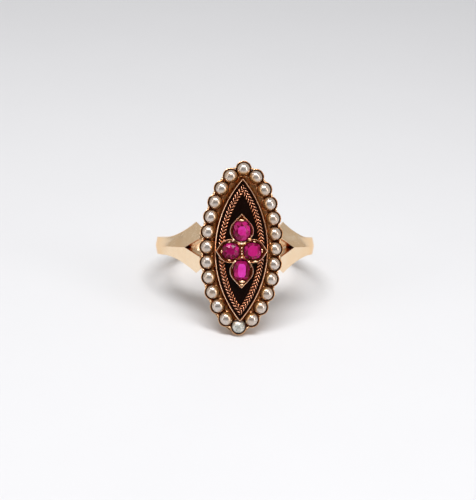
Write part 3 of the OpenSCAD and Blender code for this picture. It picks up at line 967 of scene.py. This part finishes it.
def cup(row, here, before, after, wobble):
    """One cup as rows round its middle: foot, tapered wall, lip, well and floor.

    Its radius is held back at the planes half way to both neighbours, and its lip is lower
    there.
    """
    turn = once_round(CUP_STEPS)
    near = np.full(CUP_STEPS, FAR)
    low = np.zeros(CUP_STEPS)
    for other in (before, after):
        step = other - here
        off = turn - math.atan2(step[1], step[0])
        facing = np.cos(off)
        limit = np.where(facing > 0.2, np.hypot(*step) / 2 / np.maximum(facing, 0.2), FAR)
        near = np.minimum(near, limit)
        low = np.maximum(low, smooth_step(facing, *np.cos(LIP_DIP_ENDS)))
    wave = wobble * LIP_WAVE * np.sin(turn * 2 + wobble * 9)
    top = row.cup_top - LIP_DIP * low + wave
    base = row.plate_t
    lip = row.rim_t

    def ring(radius, level):
        spot = here + polar(np.minimum(radius, near), turn)
        return np.stack([spot[:, 0], spot[:, 1], level + 0 * turn], -1)

    def wall(t):
        return ring(row.foot_r + row.cup_taper * t, base + (top - base) * t)

    rows = [
        ring(0.0, base - FOOT_SUNK),
        ring(row.foot_r, base - FOOT_SUNK),
        ring(row.foot_r, base),
        wall(0.35),
        wall(0.7),
        wall(0.95),
        ring(row.rim_r - lip * 0.06, top - 0.045),
        ring(row.rim_r - lip * 0.42, top - 0.006),
        ring(row.rim_r - lip * 0.58, top),
        ring(row.cup_r + lip * 0.1, top - 0.03),
        ring(row.cup_r, top - 0.06),
        ring(row.cup_r, (top + row.cup_floor) / 2),
        ring(row.cup_r, row.cup_floor),
        ring(0.0, row.cup_floor),
    ]
    # Painted shade: the recess darkens the cup's foot, the inside of its lip and its well, and its
    # wall where it meets its neighbours; less on the side towards the head's middle.
    recess = np.repeat(np.array(CUP_DEPTHS)[:, None], CUP_STEPS, 1)
    recess[3:11] = np.maximum(recess[3:11], low[None] * 0.75)
    inward = smooth_step(-np.cos(turn - math.atan2(here[1], here[0])), 0, 0.8)
    recess[8:] = recess[8:] * (1 - 0.5 * inward)
    return np.array(rows), recess


def inner_scallop(row, turn):
    """Polar outline of the metal inside the cups: the first cup's wall that a ray meets."""
    ux, uy = np.cos(turn), np.sin(turn)
    reach = np.full(len(turn), FAR)
    for x, y in row.at:
        along = x * ux + y * uy
        inside = along**2 - (x * x + y * y - (row.cup_r + row.rim_t * 0.5) ** 2)
        hit = along - np.sqrt(np.maximum(inside, 0))
        reach = np.where((inside > 0) & (along > 0), np.minimum(reach, hit), reach)
    for (x0, y0), (x1, y1) in zip(row.at, np.roll(row.at, -1, 0)):
        across = np.array([y0 - y1, x1 - x0])
        across = across / np.hypot(*across)
        if across @ (x0, y0) < 0:
            across = -across
        facing = across[0] * ux + across[1] * uy
        line = np.where(facing > 0.02, across @ (x0, y0) / np.maximum(facing, 0.02), FAR)
        reach = np.minimum(reach, line)
    return reach


def frame_distance(points, row, panel):
    """Distance of points of the border's plane from the outside of the pointed frame."""
    x, y = leaned(points[..., 0], points[..., 1], row.lean - panel.lean)
    return np.hypot(np.abs(x) + panel.shift, y + panel.drop) - panel.r


def build_border(context):
    """The scalloped cups, the metal inside them, and a grain in each outer valley."""
    sizes = worked_out(context)
    row, panel = sizes.row, sizes.panel
    shell = Shell()
    total = len(row.at)
    for i, here in enumerate(row.at):
        before, after = row.at[i - 1], row.at[(i + 1) % total]
        rows, recess = cup(row, here, before, after, math.sin(i * 2.3))
        shell.grid(on_head(rows, row, row.lean), round_columns=True, recess=recess)
    turn = once_round(720)
    outline = polar(inner_scallop(row, turn), turn)

    def at(share_in):
        return outline * share_in

    top = row.fill_top
    ramp = np.linspace(1, 0.82, 13)
    profile = [(0, 0.2), (1, 0.2), *((k, top - 0.15 * (1 - k)) for k in ramp), (0, top - 0.03)]
    fill = levels(at, profile)
    # Painted shade: the metal between the cups and the frame darkens towards the frame's wall.
    depth = 0.4 + 0.6 * smooth_step(-frame_distance(fill, row, panel), -0.42, -0.1)
    shell.grid(on_head(fill, row, row.lean), round_columns=True, recess=depth)
    cups = shell.piece("pearl_cups", gold(context), "gold", sharp=38)
    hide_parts("ring_mount")
    grains = Shell()
    for i, here in enumerate(row.at):
        after = row.at[(i + 1) % total]
        step = after - here
        across = np.array([-step[1], step[0]]) / np.hypot(*step)
        place = (here + after) / 2 + across * row.rim_r * 0.62
        along = math.atan2(step[1], step[0])
        size = row.grain_r * (0.72 + 0.12 * math.sin(i * 3.7))
        bead = bead_rows(place, size, size * 0.8, row.cup_top - 0.06, 0.85, along)
        grains.grid(on_head(bead, row, row.lean), round_columns=True, recess=BEAD_DEPTHS)
    beads = grains.piece("valley_grains", gold(context), "gold", sharp=60)
    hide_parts("ring_mount")


BEAD_STEPS = 20
BEAD_ROWS = 6
BEAD_POST = 1.6
# Painted shade on the post under each bead; the bead itself gets none.
BEAD_DEPTHS = np.array([0.8] * 3 + [0.0] * BEAD_ROWS)[:, None]


def bead_rows(place, half_l, half_w, level, rise, turn):
    """An oval bead on a short post, as a surface of revolution stretched along its turn."""
    round_it = once_round(BEAD_STEPS)
    up = np.radians(np.linspace(0, 90, BEAD_ROWS + 1))[1:]
    radii = np.concatenate([[0, 1, 1], np.cos(up)])
    heights = np.concatenate([[-BEAD_POST, -BEAD_POST, 0], np.sin(up) * rise])
    heights = heights * min(half_l, half_w)
    x = half_l * radii[:, None] * np.cos(round_it)
    y = half_w * radii[:, None] * np.sin(round_it)
    x, y = leaned(x, y, -turn)
    z = level + np.broadcast_to(heights[:, None], x.shape)
    return np.stack([place[0] + x, place[1] + y, z], -1)


# The panel


OVAL_STEPS = 120


def pointed_outline(panel, inset):
    """The pointed oval where two circles overlap, both drawn in by inset, from its lower tip."""
    r = panel.r - inset
    half_turn = math.acos(min(panel.shift / r, 1))
    turn = np.linspace(-half_turn, half_turn, OVAL_STEPS + 1)[:-1]
    x = r * np.cos(turn) - panel.shift
    y = r * np.sin(turn)
    x[0] = 0
    return np.concatenate([np.stack([x, y], -1), np.stack([-x, -y], -1)])


def ridged_top(thick, top):
    """The ridged top of a wall, as (inset, level), from its outside over to its inside."""
    slope = ((0, 0.5), (0.12, 0.2), (0.3, 0), (0.5, 0.2), (0.62, 0.4), (1, 1))
    return [(thick * across, top - thick / 2 * drop) for across, drop in slope]


def build_frame(context):
    """The pointed frame, the floor inside it and the land under the ropes."""
    sizes = worked_out(context)
    panel, row = sizes.panel, sizes.row
    deep = row.fill_top - 0.2
    land_out = panel.rope_start + panel.land_inset
    land_in = panel.field_start - panel.land_inset
    profile = [
        (0, deep),
        (0, panel.floor),
        *ridged_top(panel.frame_t, panel.top),
        (panel.frame_t, panel.floor),
        (land_out, panel.floor),
        (land_out, panel.rope_level),
        (land_in, panel.rope_level),
        (land_in, panel.floor),
    ]
    # Painted shade: the frame's outer wall, its inner slope, the floor and the land under the
    # ropes get full recess; its ridge little or none.
    depth = np.array([1, 1, 1, 1, 0.6, 0, 0.3, 1, 1, 1, 1, 1, 1, 1, 1.0])

    def at(inset):
        return pointed_outline(panel, inset)

    rows = levels(at, profile)
    rows = capped(rows)
    shell = Shell()
    placed = on_head(rows, row, panel.lean, panel.middle)
    shell.grid(placed, round_columns=True, recess=depth[:, None])
    metal = gold(context, "Frame gold")
    piece = shell.piece("enamel_frame", metal, "gold", sharp=35, weld=0.002)
    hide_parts("ring_mount")


STRAND_STEP = 0.036
STRAND_SIDES = 10
STRAND_THICK = 0.48


def strand(panel, inset, phase, hand, side):
    """One strand of a rope: a tube whose middle winds about the rope's arc.

    The arc is one side of the pointed oval; the winding is (cos, sin) of a turn that grows
    with the length along it. Points past the tips are held in the plane where the sides meet.
    """
    wire = panel.rope_d / 2
    r = panel.r - inset - wire
    half_turn = math.acos(panel.shift / r) + 0.02
    steps = int(2 * half_turn * r / STRAND_STEP)
    turn = np.linspace(-half_turn, half_turn, steps)[:, None]
    along = turn * r
    wind = phase + hand * 2 * math.pi * along / panel.rope_pitch
    thick, off = wire * STRAND_THICK, wire * (1 - STRAND_THICK)
    round_it = once_round(STRAND_SIDES)[None]
    cx, cz = off * np.cos(wind), off * np.sin(wind)
    out = cx + thick * np.cos(round_it)
    up = cz + thick * np.sin(round_it)
    reach = r + out
    x = np.maximum(reach * np.cos(turn) - panel.shift, 0) * side
    y = reach * np.sin(turn) * side
    z = panel.rope_level + up
    # Painted shade, with black dirt: recess where the two strands meet and on the strands'
    # undersides.
    towards = np.cos(round_it) * np.cos(wind) + np.sin(round_it) * np.sin(wind)
    recess = smooth_step(-towards, -0.65, -0.2)
    low = smooth_step(-up, 0.02, 0.14)
    points = np.stack([x, y, z], -1)
    return points, np.maximum(recess, low)


def build_ropes(context):
    """Two rope wires along each side, twisted opposite ways, so they look like a plait."""
    sizes = worked_out(context)
    panel, row = sizes.panel, sizes.row
    for k, hand, name in ((0, 1, "outer_rope"), (1, -1, "inner_rope")):
        shell = Shell()
        inset = panel.rope_start + k * (panel.rope_d - panel.rope_lap)
        for side in (1, -1):
            for phase in (0.0, math.pi):
                points, recess = strand(panel, inset, phase, hand, side)
                placed = on_head(points, row, panel.lean, panel.middle)
                shell.grid(placed, round_columns=True, recess=recess)
                for end in (placed[:1], placed[-1:]):
                    middle = np.broadcast_to(end.mean(1, keepdims=True), end.shape)
                    shell.grid(np.concatenate([end, middle]), round_columns=True, recess=1.0)
        piece = shell.piece(name, gold(context, f"Rope gold {k + 1}"), "gold", sharp=75)
        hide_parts("ring_mount")


ENAMEL = ("enamel_top", "enamel_bottom", "enamel_line_top", "enamel_line_bottom")


def build_enamel(context):
    """Gives the four pieces of enamel their black glass."""
    material = made_once("Black enamel", enamel_material, finishes(context))
    for name in ENAMEL:
        piece = frame["nodes"][name]
        piece.data.materials.clear()
        piece.data.materials.append(material)


# The quatrefoil


def lobes_of(s):
    """The four lobes: centre, direction, distance of the point from the centre."""
    reach_y = s.lobe_r + s.long_point_l
    reach_x = s.lobe_r + s.side_point_l
    return [
        ((0, s.lobe_y), 0.5 * math.pi, reach_y),
        ((s.lobe_x, 0), 0.0, reach_x),
        ((0, -s.lobe_y), -0.5 * math.pi, reach_y),
        ((-s.lobe_x, 0), math.pi, reach_x),
    ]


def quatrefoil_reach(s, grow, turn):
    """How far a ray from the middle stays inside the four pointed lobes, grown by grow.

    Each lobe is a circle with a point whose two sides are its tangents. The diamond between
    the lobes' centres fills the middle.
    """
    ux, uy = np.cos(turn), np.sin(turn)
    reach = 1 / (np.abs(ux) / s.lobe_x + np.abs(uy) / s.lobe_y)
    r = s.lobe_r + grow
    for (cx, cy), heading, tip in lobes_of(s):
        along = cx * ux + cy * uy
        inside = along**2 - (cx * cx + cy * cy - r * r)
        leave = np.where(inside > 0, along + np.sqrt(np.maximum(inside, 0)), 0)
        reach = np.maximum(reach, np.where(along > 0, leave, reach))
        half = math.acos(s.lobe_r / tip)
        ends = []
        for turned in (heading - half, heading + half):
            nx, ny = math.cos(turned), math.sin(turned)
            facing = nx * ux + ny * uy
            line = (r + nx * cx + ny * cy) / np.maximum(facing, 1e-6)
            ends.append(np.where(facing > 1e-6, line, FAR))
        leave = np.minimum(*ends)
        past = (leave * ux - cx) * math.cos(heading) + (leave * uy - cy) * math.sin(heading)
        good = (past >= r * math.cos(half) - 1e-9) & (leave < 20)
        reach = np.where(good, np.maximum(reach, leave), reach)
    return reach


STONES = (
    # node, x share, y share, width share, length share, squareness, table share,
    # table's painted shade (below 0 a painted flash), crown's painted shade, direction of the
    # painted dark side in degrees
    ("ruby_top", 0.0, 1.02, 0.72, 0.86, 2.3, (0.50, 0.48), -0.25, 0.5, 160),
    ("ruby_right", 0.93, 0.0, 0.70, 0.69, 2.9, (0.60, 0.62), 0.0, 0.45, 180),
    ("ruby_bottom", 0.0, -0.98, 0.67, 0.81, 3.2, (0.50, 0.74), -0.5, 0.6, 20),
    ("ruby_left", -0.94, 0.0, 0.72, 0.67, 2.5, (0.46, 0.42), 0.5, 0.55, 200),
)


def oval(width, long, square, turn):
    """A cushion outline: |x|^square + |y|^square = 1, stretched to the stone."""
    cos, sin = np.cos(turn), np.sin(turn)
    x = width / 2 * np.sign(cos) * np.abs(cos) ** (2 / square)
    y = long / 2 * np.sign(sin) * np.abs(sin) ** (2 / square)
    return np.stack([x, y], -1)


WELL_STEPS = 64
WELL_ABOVE = 0.6


def cut_wells(piece, s, row):
    """Cuts a well for each stone out of the collet, with the exact solver."""
    for _, x, y, w, long, *_ in STONES:
        wide = w * 2 * s.lobe_r + 2 * s.stone_gap
        tall = long * 2 * s.lobe_r + 2 * s.stone_gap
        outline = oval(wide, tall, s.square, once_round(WELL_STEPS)) + (x * s.lobe_x, y * s.lobe_y)
        floor = s.girdle - s.pavilion_h - s.stone_gap

        def at(share_in, outline=outline):
            middle = outline.mean(0)
            return middle + (outline - middle) * share_in

        high = s.bed + WELL_ABOVE
        slope = [(0.55, floor), (0.98, s.bed - 0.12), (1.0, s.bed - 0.01)]
        profile = [(0, floor), *slope, (1.0, high), (0, high)]
        cutter = Shell()
        cutter.grid(on_head(levels(at, profile), row, 0, s.middle), round_columns=True)
        tool = cutter.piece("cutter", piece.data.materials[0], "gold")
        step = piece.modifiers.new("well", "BOOLEAN")
        step.object = tool
        step.solver = "EXACT"
        view = bpy.context.evaluated_depsgraph_get()
        cut = bpy.data.meshes.new_from_object(piece.evaluated_get(view))
        piece.modifiers.clear()
        old = piece.data
        piece.data = cut
        bpy.data.meshes.remove(old)
        bpy.data.objects.remove(tool)
    piece.data.name = piece.name


def build_collet(context):
    """The pointed quatrefoil: wall, bright-cut slope and bed, with a well for each stone."""
    sizes = worked_out(context)
    s, row = sizes.stones, sizes.row
    turn = once_round(720)
    t = s.collet_t
    base = row.cup_top - 0.1
    profile = [
        (0.0, base),
        (0.0, s.top - 0.06),
        (-0.012, s.top - 0.04),
        (-0.05, s.top),
        (-0.09, s.top - 0.04),
        (-t * 0.9, s.top - 0.15),
        (-t * 1.2, s.top - 0.16),
        (-t * 1.6, s.top - 0.09),
        (-t * 1.9, s.bed + 0.05),
        (-t * 2.3, s.bed),
    ]

    def at(grow):
        return polar(quatrefoil_reach(s, grow, turn), turn)

    rows = capped(levels(at, profile))
    # Painted shade: the collet's foot, the groove of its bright-cut slope and its bed get recess;
    # the rim and the slope's ridge none.
    depth = np.array([1, 1, 0.3, 0, 0, 0, 1.4, 1.4, 0.0, 1.3, 1.5, 1.5])
    shell = Shell()
    shell.grid(on_head(rows, row, 0, s.middle), round_columns=True, recess=depth[:, None])
    piece = shell.piece("quatrefoil_collet", gold(context, "Frame gold"), "gold", sharp=30)
    cut_wells(piece, s, row)
    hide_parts("ring_mount")


GRAINS = (
    # x, y, half length, half width, turn in degrees, rise
    (-0.02, 3.69, 0.27, 0.13, 0, 0.9),
    (-1.04, 1.32, 0.22, 0.14, 60, 1.0),
    (0.93, 1.40, 0.22, 0.15, 135, 1.0),
    (0.04, 0.86, 0.28, 0.10, 0, 0.8),
    (0.00, 0.36, 0.10, 0.10, 0, 0.9),
    (0.00, -0.04, 0.09, 0.09, 0, 0.9),
    (0.02, -0.37, 0.10, 0.10, 0, 0.9),
    (0.04, -0.75, 0.14, 0.12, 0, 1.0),
    (-0.86, -1.29, 0.25, 0.13, 40, 1.0),
    (0.90, -1.32, 0.18, 0.13, 140, 0.9),
    (1.64, -1.25, 0.26, 0.11, 5, 1.0),
    (-2.42, -0.06, 0.20, 0.10, 90, 1.0),
    (2.44, 0.05, 0.24, 0.10, 90, 1.0),
    (-1.48, -1.08, 0.17, 0.10, 160, 0.8),
    (-1.5, 1.08, 0.15, 0.09, 20, 0.8),
    (1.52, 1.12, 0.14, 0.09, 160, 0.8),
    (0.06, -3.66, 0.30, 0.15, 0, 0.9),
    (0.04, -4.02, 0.17, 0.11, 10, 0.9),
)


def build_stone_grains(context):
    """The grains and short bars of gold that hold the stones."""
    sizes = worked_out(context)
    s, row = sizes.stones, sizes.row
    shell = Shell()
    level = s.bed + s.girdle_t + 0.14
    for x, y, half_l, half_w, turn, rise in GRAINS:
        half_l, half_w = half_l * s.grain_size, half_w * s.grain_size
        bead = bead_rows((x, y), half_l, half_w, level, rise * 1.4, math.radians(turn))
        shell.grid(on_head(bead, row, 0, s.middle), round_columns=True, recess=BEAD_DEPTHS)
    piece = shell.piece("stone_grains", gold(context), "gold", sharp=60)
    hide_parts("ring_mount")


# Stones and pearls


def stone_faces():
    """Faces of an old cut stone on its rings of points.

    Rings: table 8, crown 8, girdle 16 twice, pavilion 8, culet 8. Stars, kites and halves
    join them as on a brilliant.
    """
    table, crown, upper, lower, deep, culet = 0, 8, 16, 32, 48, 56
    faces = [tuple(range(8))]
    for k in range(8):
        n = (k + 1) % 8
        before = (k - 1) % 8
        g = 2 * k
        faces.append((table + k, crown + k, table + n))
        faces.append((table + k, crown + before, upper + g, crown + k))
        faces.append((crown + k, upper + g, upper + g + 1))
        faces.append((crown + k, upper + g + 1, upper + (g + 2) % 16))
        faces.append((deep + k, lower + g + 1, lower + g))
        faces.append((deep + k, lower + (g + 2) % 16, lower + g + 1))
        faces.append((culet + k, deep + k, lower + g, deep + before))
        faces.append((culet + k, culet + n, deep + k))
    for j in range(16):
        n = (j + 1) % 16
        faces.append((upper + j, lower + j, lower + n, upper + n))
    faces.append(tuple(culet + k for k in reversed(range(8))))
    return faces


STONE_SEED = 11


def build_stones(context):
    """The four old cut cushion stones, each a little uneven."""
    sizes = worked_out(context)
    s, row = sizes.stones, sizes.row
    material = made_once("Ruby", ruby_material, finishes(context))
    faces = stone_faces()
    eighths = once_round(8) + math.pi / 8
    sixteenths = once_round(16) + math.pi / 8
    for i, (name, x, y, w, long, square, table, flat, crown, side) in enumerate(STONES):
        chance = np.random.default_rng(STONE_SEED + i)
        wide, tall = w * 2 * s.lobe_r, long * 2 * s.lobe_r
        rings = []
        plan = (
            (eighths, table, s.crown_h, 0.012),
            (eighths + math.pi / 8, (0.78, 0.80), s.crown_h * 0.62, 0.015),
            (sixteenths, (1, 1), s.girdle_t / 2, 0),
            (sixteenths, (1, 1), -s.girdle_t / 2, 0),
            (eighths + math.pi / 8, (0.56, 0.56), -s.pavilion_h * 0.5, 0.02),
            (eighths, (0.12, 0.14), -s.pavilion_h, 0),
        )
        for turns, (kx, ky), level, loose in plan:
            ring = oval(wide * kx, tall * ky, square, turns)
            ring = ring + chance.normal(0, 1, ring.shape) * loose * s.lobe_r * 0.7
            height = level + chance.normal(0, 1, len(ring)) * loose * 0.4
            if level == s.crown_h:
                height = np.full(len(ring), level)
            rings.append(np.concatenate([ring, height[:, None]], 1))
        points = np.concatenate(rings)
        # Painted light and shade per facet: darker towards the dark side, random flashes and dark
        # facets, and the table's given value.
        dark_way = polar(1, math.radians(side))
        shades = []
        for face in faces:
            middle = points[list(face)].mean(0)
            lean = middle[:2] @ dark_way / s.lobe_r * 0.5
            shades.append(crown + lean + chance.uniform(-0.5, 0.6))
        shades[0] = flat
        points = points + (x * s.lobe_x, y * s.lobe_y, s.girdle)
        mesh = bpy.data.meshes.new(name + "_cut")
        mesh.from_pydata(lie_down(on_head(points, row, 0, s.middle)).tolist(), [], faces)
        mesh.attributes.new("shade", "FLOAT", "FACE").data.foreach_set("value", shades)
        work = bmesh.new()
        work.from_mesh(mesh)
        bmesh.ops.triangulate(work, faces=[f for f in work.faces if len(f.verts) == 4])
        bmesh.ops.recalc_face_normals(work, faces=work.faces)
        work.to_mesh(mesh)
        work.free()
        piece = shown(name + "_cut", mesh, material)
        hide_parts(name)
        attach(piece, "root")


PEARL_SEED = 100
PEARL_STEPS = 72
PEARL_ROWS = 40
PEARL_WAVES = 5
PEARL_DIP = 0.02


def pearl_points(row, centre, i):
    """A half pearl: a ball with soft uneven swellings, cut flat where it sits.

    Waves of its direction take up to PEARL_DIP off its radius.
    """
    chance = np.random.default_rng(PEARL_SEED + i)
    round_it = once_round(PEARL_STEPS)
    cut = -math.asin(row.pearl_lift / row.pearl_r) + 0.05
    up = np.linspace(cut, math.pi / 2, PEARL_ROWS)[:, None]
    dx, dy = np.cos(up) * np.cos(round_it), np.cos(up) * np.sin(round_it)
    dz = np.broadcast_to(np.sin(up), dx.shape)
    dip = np.zeros(dx.shape)
    for _ in range(PEARL_WAVES):
        way = chance.normal(0, 1, 3)
        way = way / np.linalg.norm(way) * chance.uniform(1.5, 4.0)
        dip = dip + np.cos(dx * way[0] + dy * way[1] + dz * way[2] + chance.uniform(0, 6.3))
    dip = (dip - dip.min()) / (dip.max() - dip.min())
    r = (row.pearl_r + row.cup_gap * 0.4) * (1 - PEARL_DIP * dip)
    wide, tall = 1 - chance.uniform(0, 0.02), 1 - chance.uniform(0, 0.02)
    inward = -centre / np.array([row.row_w**2, row.row_l**2])
    inward = inward / np.hypot(*inward)
    seat = centre + inward * row.cup_gap * 0.6
    height = row.cup_floor + row.pearl_lift + r * dz
    rows = np.stack([seat[0] + r * dx * wide, seat[1] + r * dy * tall, height], -1)
    # Painted reflection: amber on the pearl's sides, most towards the head's middle, and darker
    # right at its edge.
    edge = np.hypot(dx, dy)
    facing = (dx * inward[0] + dy * inward[1]) / np.maximum(edge, 1e-9)
    low = edge * (0.55 + 0.35 * facing + 0.3 * facing**2)
    amber = np.maximum(smooth_step(low, 0.28, 0.75), 0.8 * smooth_step(edge, 0.75, 1))
    base = rows[:1].copy()
    base[..., 2] = row.cup_floor + 0.02
    rows = np.concatenate([np.broadcast_to(base.mean(1, keepdims=True), base.shape), base, rows])
    return rows, np.concatenate([amber[:1], amber[:1], amber])


def build_pearls(context):
    """The 24 half pearls. The lowest is grey and flaked."""
    row = worked_out(context).row
    finish = finishes(context)
    sound = (finish, "Nacre", finish.pearl, finish.pearl_warm, finish.pearl, 0.15, 0.0)
    worn = (finish, "Worn nacre", finish.pearl_grey, finish.pearl, finish.pearl_flake, 0.25, 0.85)
    cream = made_once("Nacre", pearl_material, *sound)
    grey = made_once("Worn nacre", pearl_material, *worn)
    lowest = len(row.at) // 2
    for i, centre in enumerate(row.at):
        shell = Shell()
        points, amber = pearl_points(row, centre, i)
        shell.grid(on_head(points, row, row.lean), round_columns=True, recess=amber)
        name = f"pearl_{i + 1:02d}"
        piece = shell.piece(name + "_half", grey if i == lowest else cream, "pearl", sharp=50)
        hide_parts(name)


# The stage


def head_middle(row, panel):
    """Middle of the head's face, at rest, in metres."""
    return Vector(lie_down(on_head((0, 0, panel.top), row)).tolist())


def ring_axes():
    """The ring's own directions at rest: across, towards the front, and along the finger."""
    c, s = math.cos(REST_TILT), math.sin(REST_TILT)
    return Vector((1, 0, 0)), Vector((0, -c, s)), Vector((0, s, c))


SENSOR_WIDTH = 36


def place_camera(context, s, stage):
    """Sets the camera at the picture's angle to the ring, at the picture's size."""
    across, front, along = ring_axes()
    flat = math.cos(stage.above)
    back = (
        front * math.cos(stage.to_left) * flat
        - across * math.sin(stage.to_left) * flat
        + along * math.sin(stage.above)
    ).normalized()
    right = along.cross(back).normalized()
    up = back.cross(right)
    turned_up = up * math.cos(stage.roll) + right * math.sin(stage.roll)
    turned_right = right * math.cos(stage.roll) - up * math.sin(stage.roll)
    head = head_middle(s.row, s.panel)
    aim = head - turned_right * stage.head_right * MM - turned_up * stage.head_up * MM
    data = bpy.data.cameras.new("Camera")
    data.sensor_fit = "HORIZONTAL"
    data.sensor_width = SENSOR_WIDTH
    data.lens = data.sensor_width * stage.distance / stage.picture_w
    data.clip_start = 0.01
    data.clip_end = 10
    camera = bpy.data.objects.new("Camera", data)
    context.scene.collection.objects.link(camera)
    spin = Matrix((turned_right, turned_up, back)).transposed().to_4x4()
    camera.matrix_world = Matrix.Translation(aim + back * stage.distance * MM) @ spin
    context.scene.camera = camera
    return head, back, turned_up, turned_right


LIGHTS = (
    # name, metres to the right of the head, towards the camera and up, width, height, watts, tint
    ("Top light", (0, 0.135, 0.18), 0.2, 0.055, 0.49, (1, 1, 1)),
    ("Left light", (-0.18, 0.12, 0.03), 0.08, 0.2, 0.07, (1, 0.98, 0.96)),
    ("Right light", (0.18, 0.12, 0.02), 0.06, 0.2, 0.13, (1, 0.98, 0.97)),
)


def softbox(context, name, place, aim, width, height, power, tint):
    """One soft light that looks at a point."""
    data = bpy.data.lights.new(name, "AREA")
    data.shape = "RECTANGLE"
    data.size = width
    data.size_y = height
    data.energy = power
    data.color = tint
    light = bpy.data.objects.new(name, data)
    context.scene.collection.objects.link(light)
    light.location = place
    light.rotation_mode = "QUATERNION"
    light.rotation_quaternion = (place - aim).to_track_quat("Z", "Y")


ROOM = (0.9, 0.93, 0.97, 1)
ROOM_SIDES = (1.2, 1.09, 0.97, 1)
ROOM_DIM = (0.14, 0.09, 0.062, 1)
ROOM_STRENGTH = 0.45


def soft_room(context, up, back, right):
    """A room with bright sides, and a dim zone at the height of the camera and round it."""
    world = bpy.data.worlds.new("Soft room")
    world.use_nodes = True
    tree = world.node_tree
    way = node(tree, "ShaderNodeTexCoord").outputs["Generated"]

    def along(axis):
        inputs = {0: way, 1: tuple(axis)}
        return node(tree, "ShaderNodeVectorMath", inputs, operation="DOT_PRODUCT").outputs["Value"]

    height = maths(tree, "ABSOLUTE", along(up), 0.0)
    level = spread(tree, height, 0.1, 0.3, 1.0, 0.0)
    ahead = spread(tree, along(back), 0.05, 0.45)
    dim = maths(tree, "MULTIPLY", level, ahead)
    beside = spread(tree, maths(tree, "ABSOLUTE", along(right), 0.0), 0.55, 0.85)
    room = mix(tree, dim, mix(tree, beside, ROOM, ROOM_SIDES), ROOM_DIM)
    feed(tree, tree.nodes["Background"], {"Color": room, "Strength": ROOM_STRENGTH})
    context.scene.world = world


def build_stage(context):
    """The pale floor, the soft lights, the dim surroundings and the camera."""
    stage = sizes_of(context.scene.ring_stage)
    head, back, up, right = place_camera(context, worked_out(context), stage)
    side = stage.floor_side / 2
    steps = np.linspace(-side, side, 9)
    x, y = np.meshgrid(steps, steps, indexing="ij")
    points = np.stack([x, y, 0 * x], -1).reshape(-1, 3) * MM
    mesh = bpy.data.meshes.new("floor")
    mesh.from_pydata(points.tolist(), [], grid_faces(9, 9).tolist())
    floor = shown("floor", mesh, floor_material(finishes(context)))
    work = bmesh.new()
    work.from_mesh(mesh)
    for face in work.faces:
        if face.normal.z < 0:
            face.normal_flip()
    work.to_mesh(mesh)
    work.free()
    soft_room(context, up, back, right)
    for name, (aside, nearer, higher), *box in LIGHTS:
        place = head + right * aside + back * nearer + up * higher
        softbox(context, name, place, head, *box)
    context.scene.view_settings.view_transform = "Standard"


# Operators and panel


class RING_OT_band(bpy.types.Operator):
    """Builds the forked band"""

    bl_idname = "ring.band"
    bl_label = "Band"

    def execute(self, context):
        build_band(context)
        return {"FINISHED"}


class RING_OT_border(bpy.types.Operator):
    """Builds the back plate and the scalloped border of cups"""

    bl_idname = "ring.border"
    bl_label = "Back plate and cups"

    def execute(self, context):
        build_plate(context)
        build_border(context)
        return {"FINISHED"}


class RING_OT_panel(bpy.types.Operator):
    """Builds the pointed frame with its ropes, and finishes the enamel"""

    bl_idname = "ring.panel"
    bl_label = "Frame, ropes and enamel"

    def execute(self, context):
        build_frame(context)
        build_ropes(context)
        build_enamel(context)
        return {"FINISHED"}


class RING_OT_collet(bpy.types.Operator):
    """Builds the quatrefoil collet and its grains"""

    bl_idname = "ring.collet"
    bl_label = "Quatrefoil"

    def execute(self, context):
        build_collet(context)
        build_stone_grains(context)
        return {"FINISHED"}


class RING_OT_stones(bpy.types.Operator):
    """Builds the four red stones"""

    bl_idname = "ring.stones"
    bl_label = "Stones"

    def execute(self, context):
        build_stones(context)
        return {"FINISHED"}


class RING_OT_pearls(bpy.types.Operator):
    """Builds the half pearls"""

    bl_idname = "ring.pearls"
    bl_label = "Pearls"

    def execute(self, context):
        build_pearls(context)
        return {"FINISHED"}


class RING_OT_stage(bpy.types.Operator):
    """Builds the floor, the lights and the camera"""

    bl_idname = "ring.stage"
    bl_label = "Stage"

    def execute(self, context):
        build_stage(context)
        return {"FINISHED"}


STEPS = (
    RING_OT_band,
    RING_OT_border,
    RING_OT_panel,
    RING_OT_collet,
    RING_OT_stones,
    RING_OT_pearls,
    RING_OT_stage,
)


class RING_PT_panel(bpy.types.Panel):
    """Lists the steps that build the ring"""

    bl_label = "Navette ring"
    bl_idname = "RING_PT_panel"
    bl_space_type = "VIEW_3D"
    bl_region_type = "UI"
    bl_category = "Ring"

    def draw(self, context):
        for step in STEPS:
            self.layout.operator(step.bl_idname)


GROUPS = {
    "ring_band": BandSizes,
    "ring_border": BorderSizes,
    "ring_panel": PanelSizes,
    "ring_stones": StoneSizes,
    "ring_finishes": Finishes,
    "ring_stage": StageSizes,
}


def register():
    """Registers the settings, the steps and the panel."""
    for name, group in GROUPS.items():
        bpy.utils.register_class(group)
        setattr(bpy.types.Scene, name, bpy.props.PointerProperty(type=group))
    for kind in (*STEPS, RING_PT_panel):
        bpy.utils.register_class(kind)


def unregister():
    """Takes them out again."""
    for kind in (RING_PT_panel, *reversed(STEPS)):
        bpy.utils.unregister_class(kind)
    for name, group in GROUPS.items():
        delattr(bpy.types.Scene, name)
        bpy.utils.unregister_class(group)


def main():
    """Builds everything in order."""
    register()
    for step in (
        bpy.ops.ring.band,
        bpy.ops.ring.border,
        bpy.ops.ring.panel,
        bpy.ops.ring.collet,
        bpy.ops.ring.stones,
        bpy.ops.ring.pearls,
        bpy.ops.ring.stage,
    ):
        if step() != {"FINISHED"}:
            raise RuntimeError("a step was left unfinished")


if __name__ == "__main__":
    main()
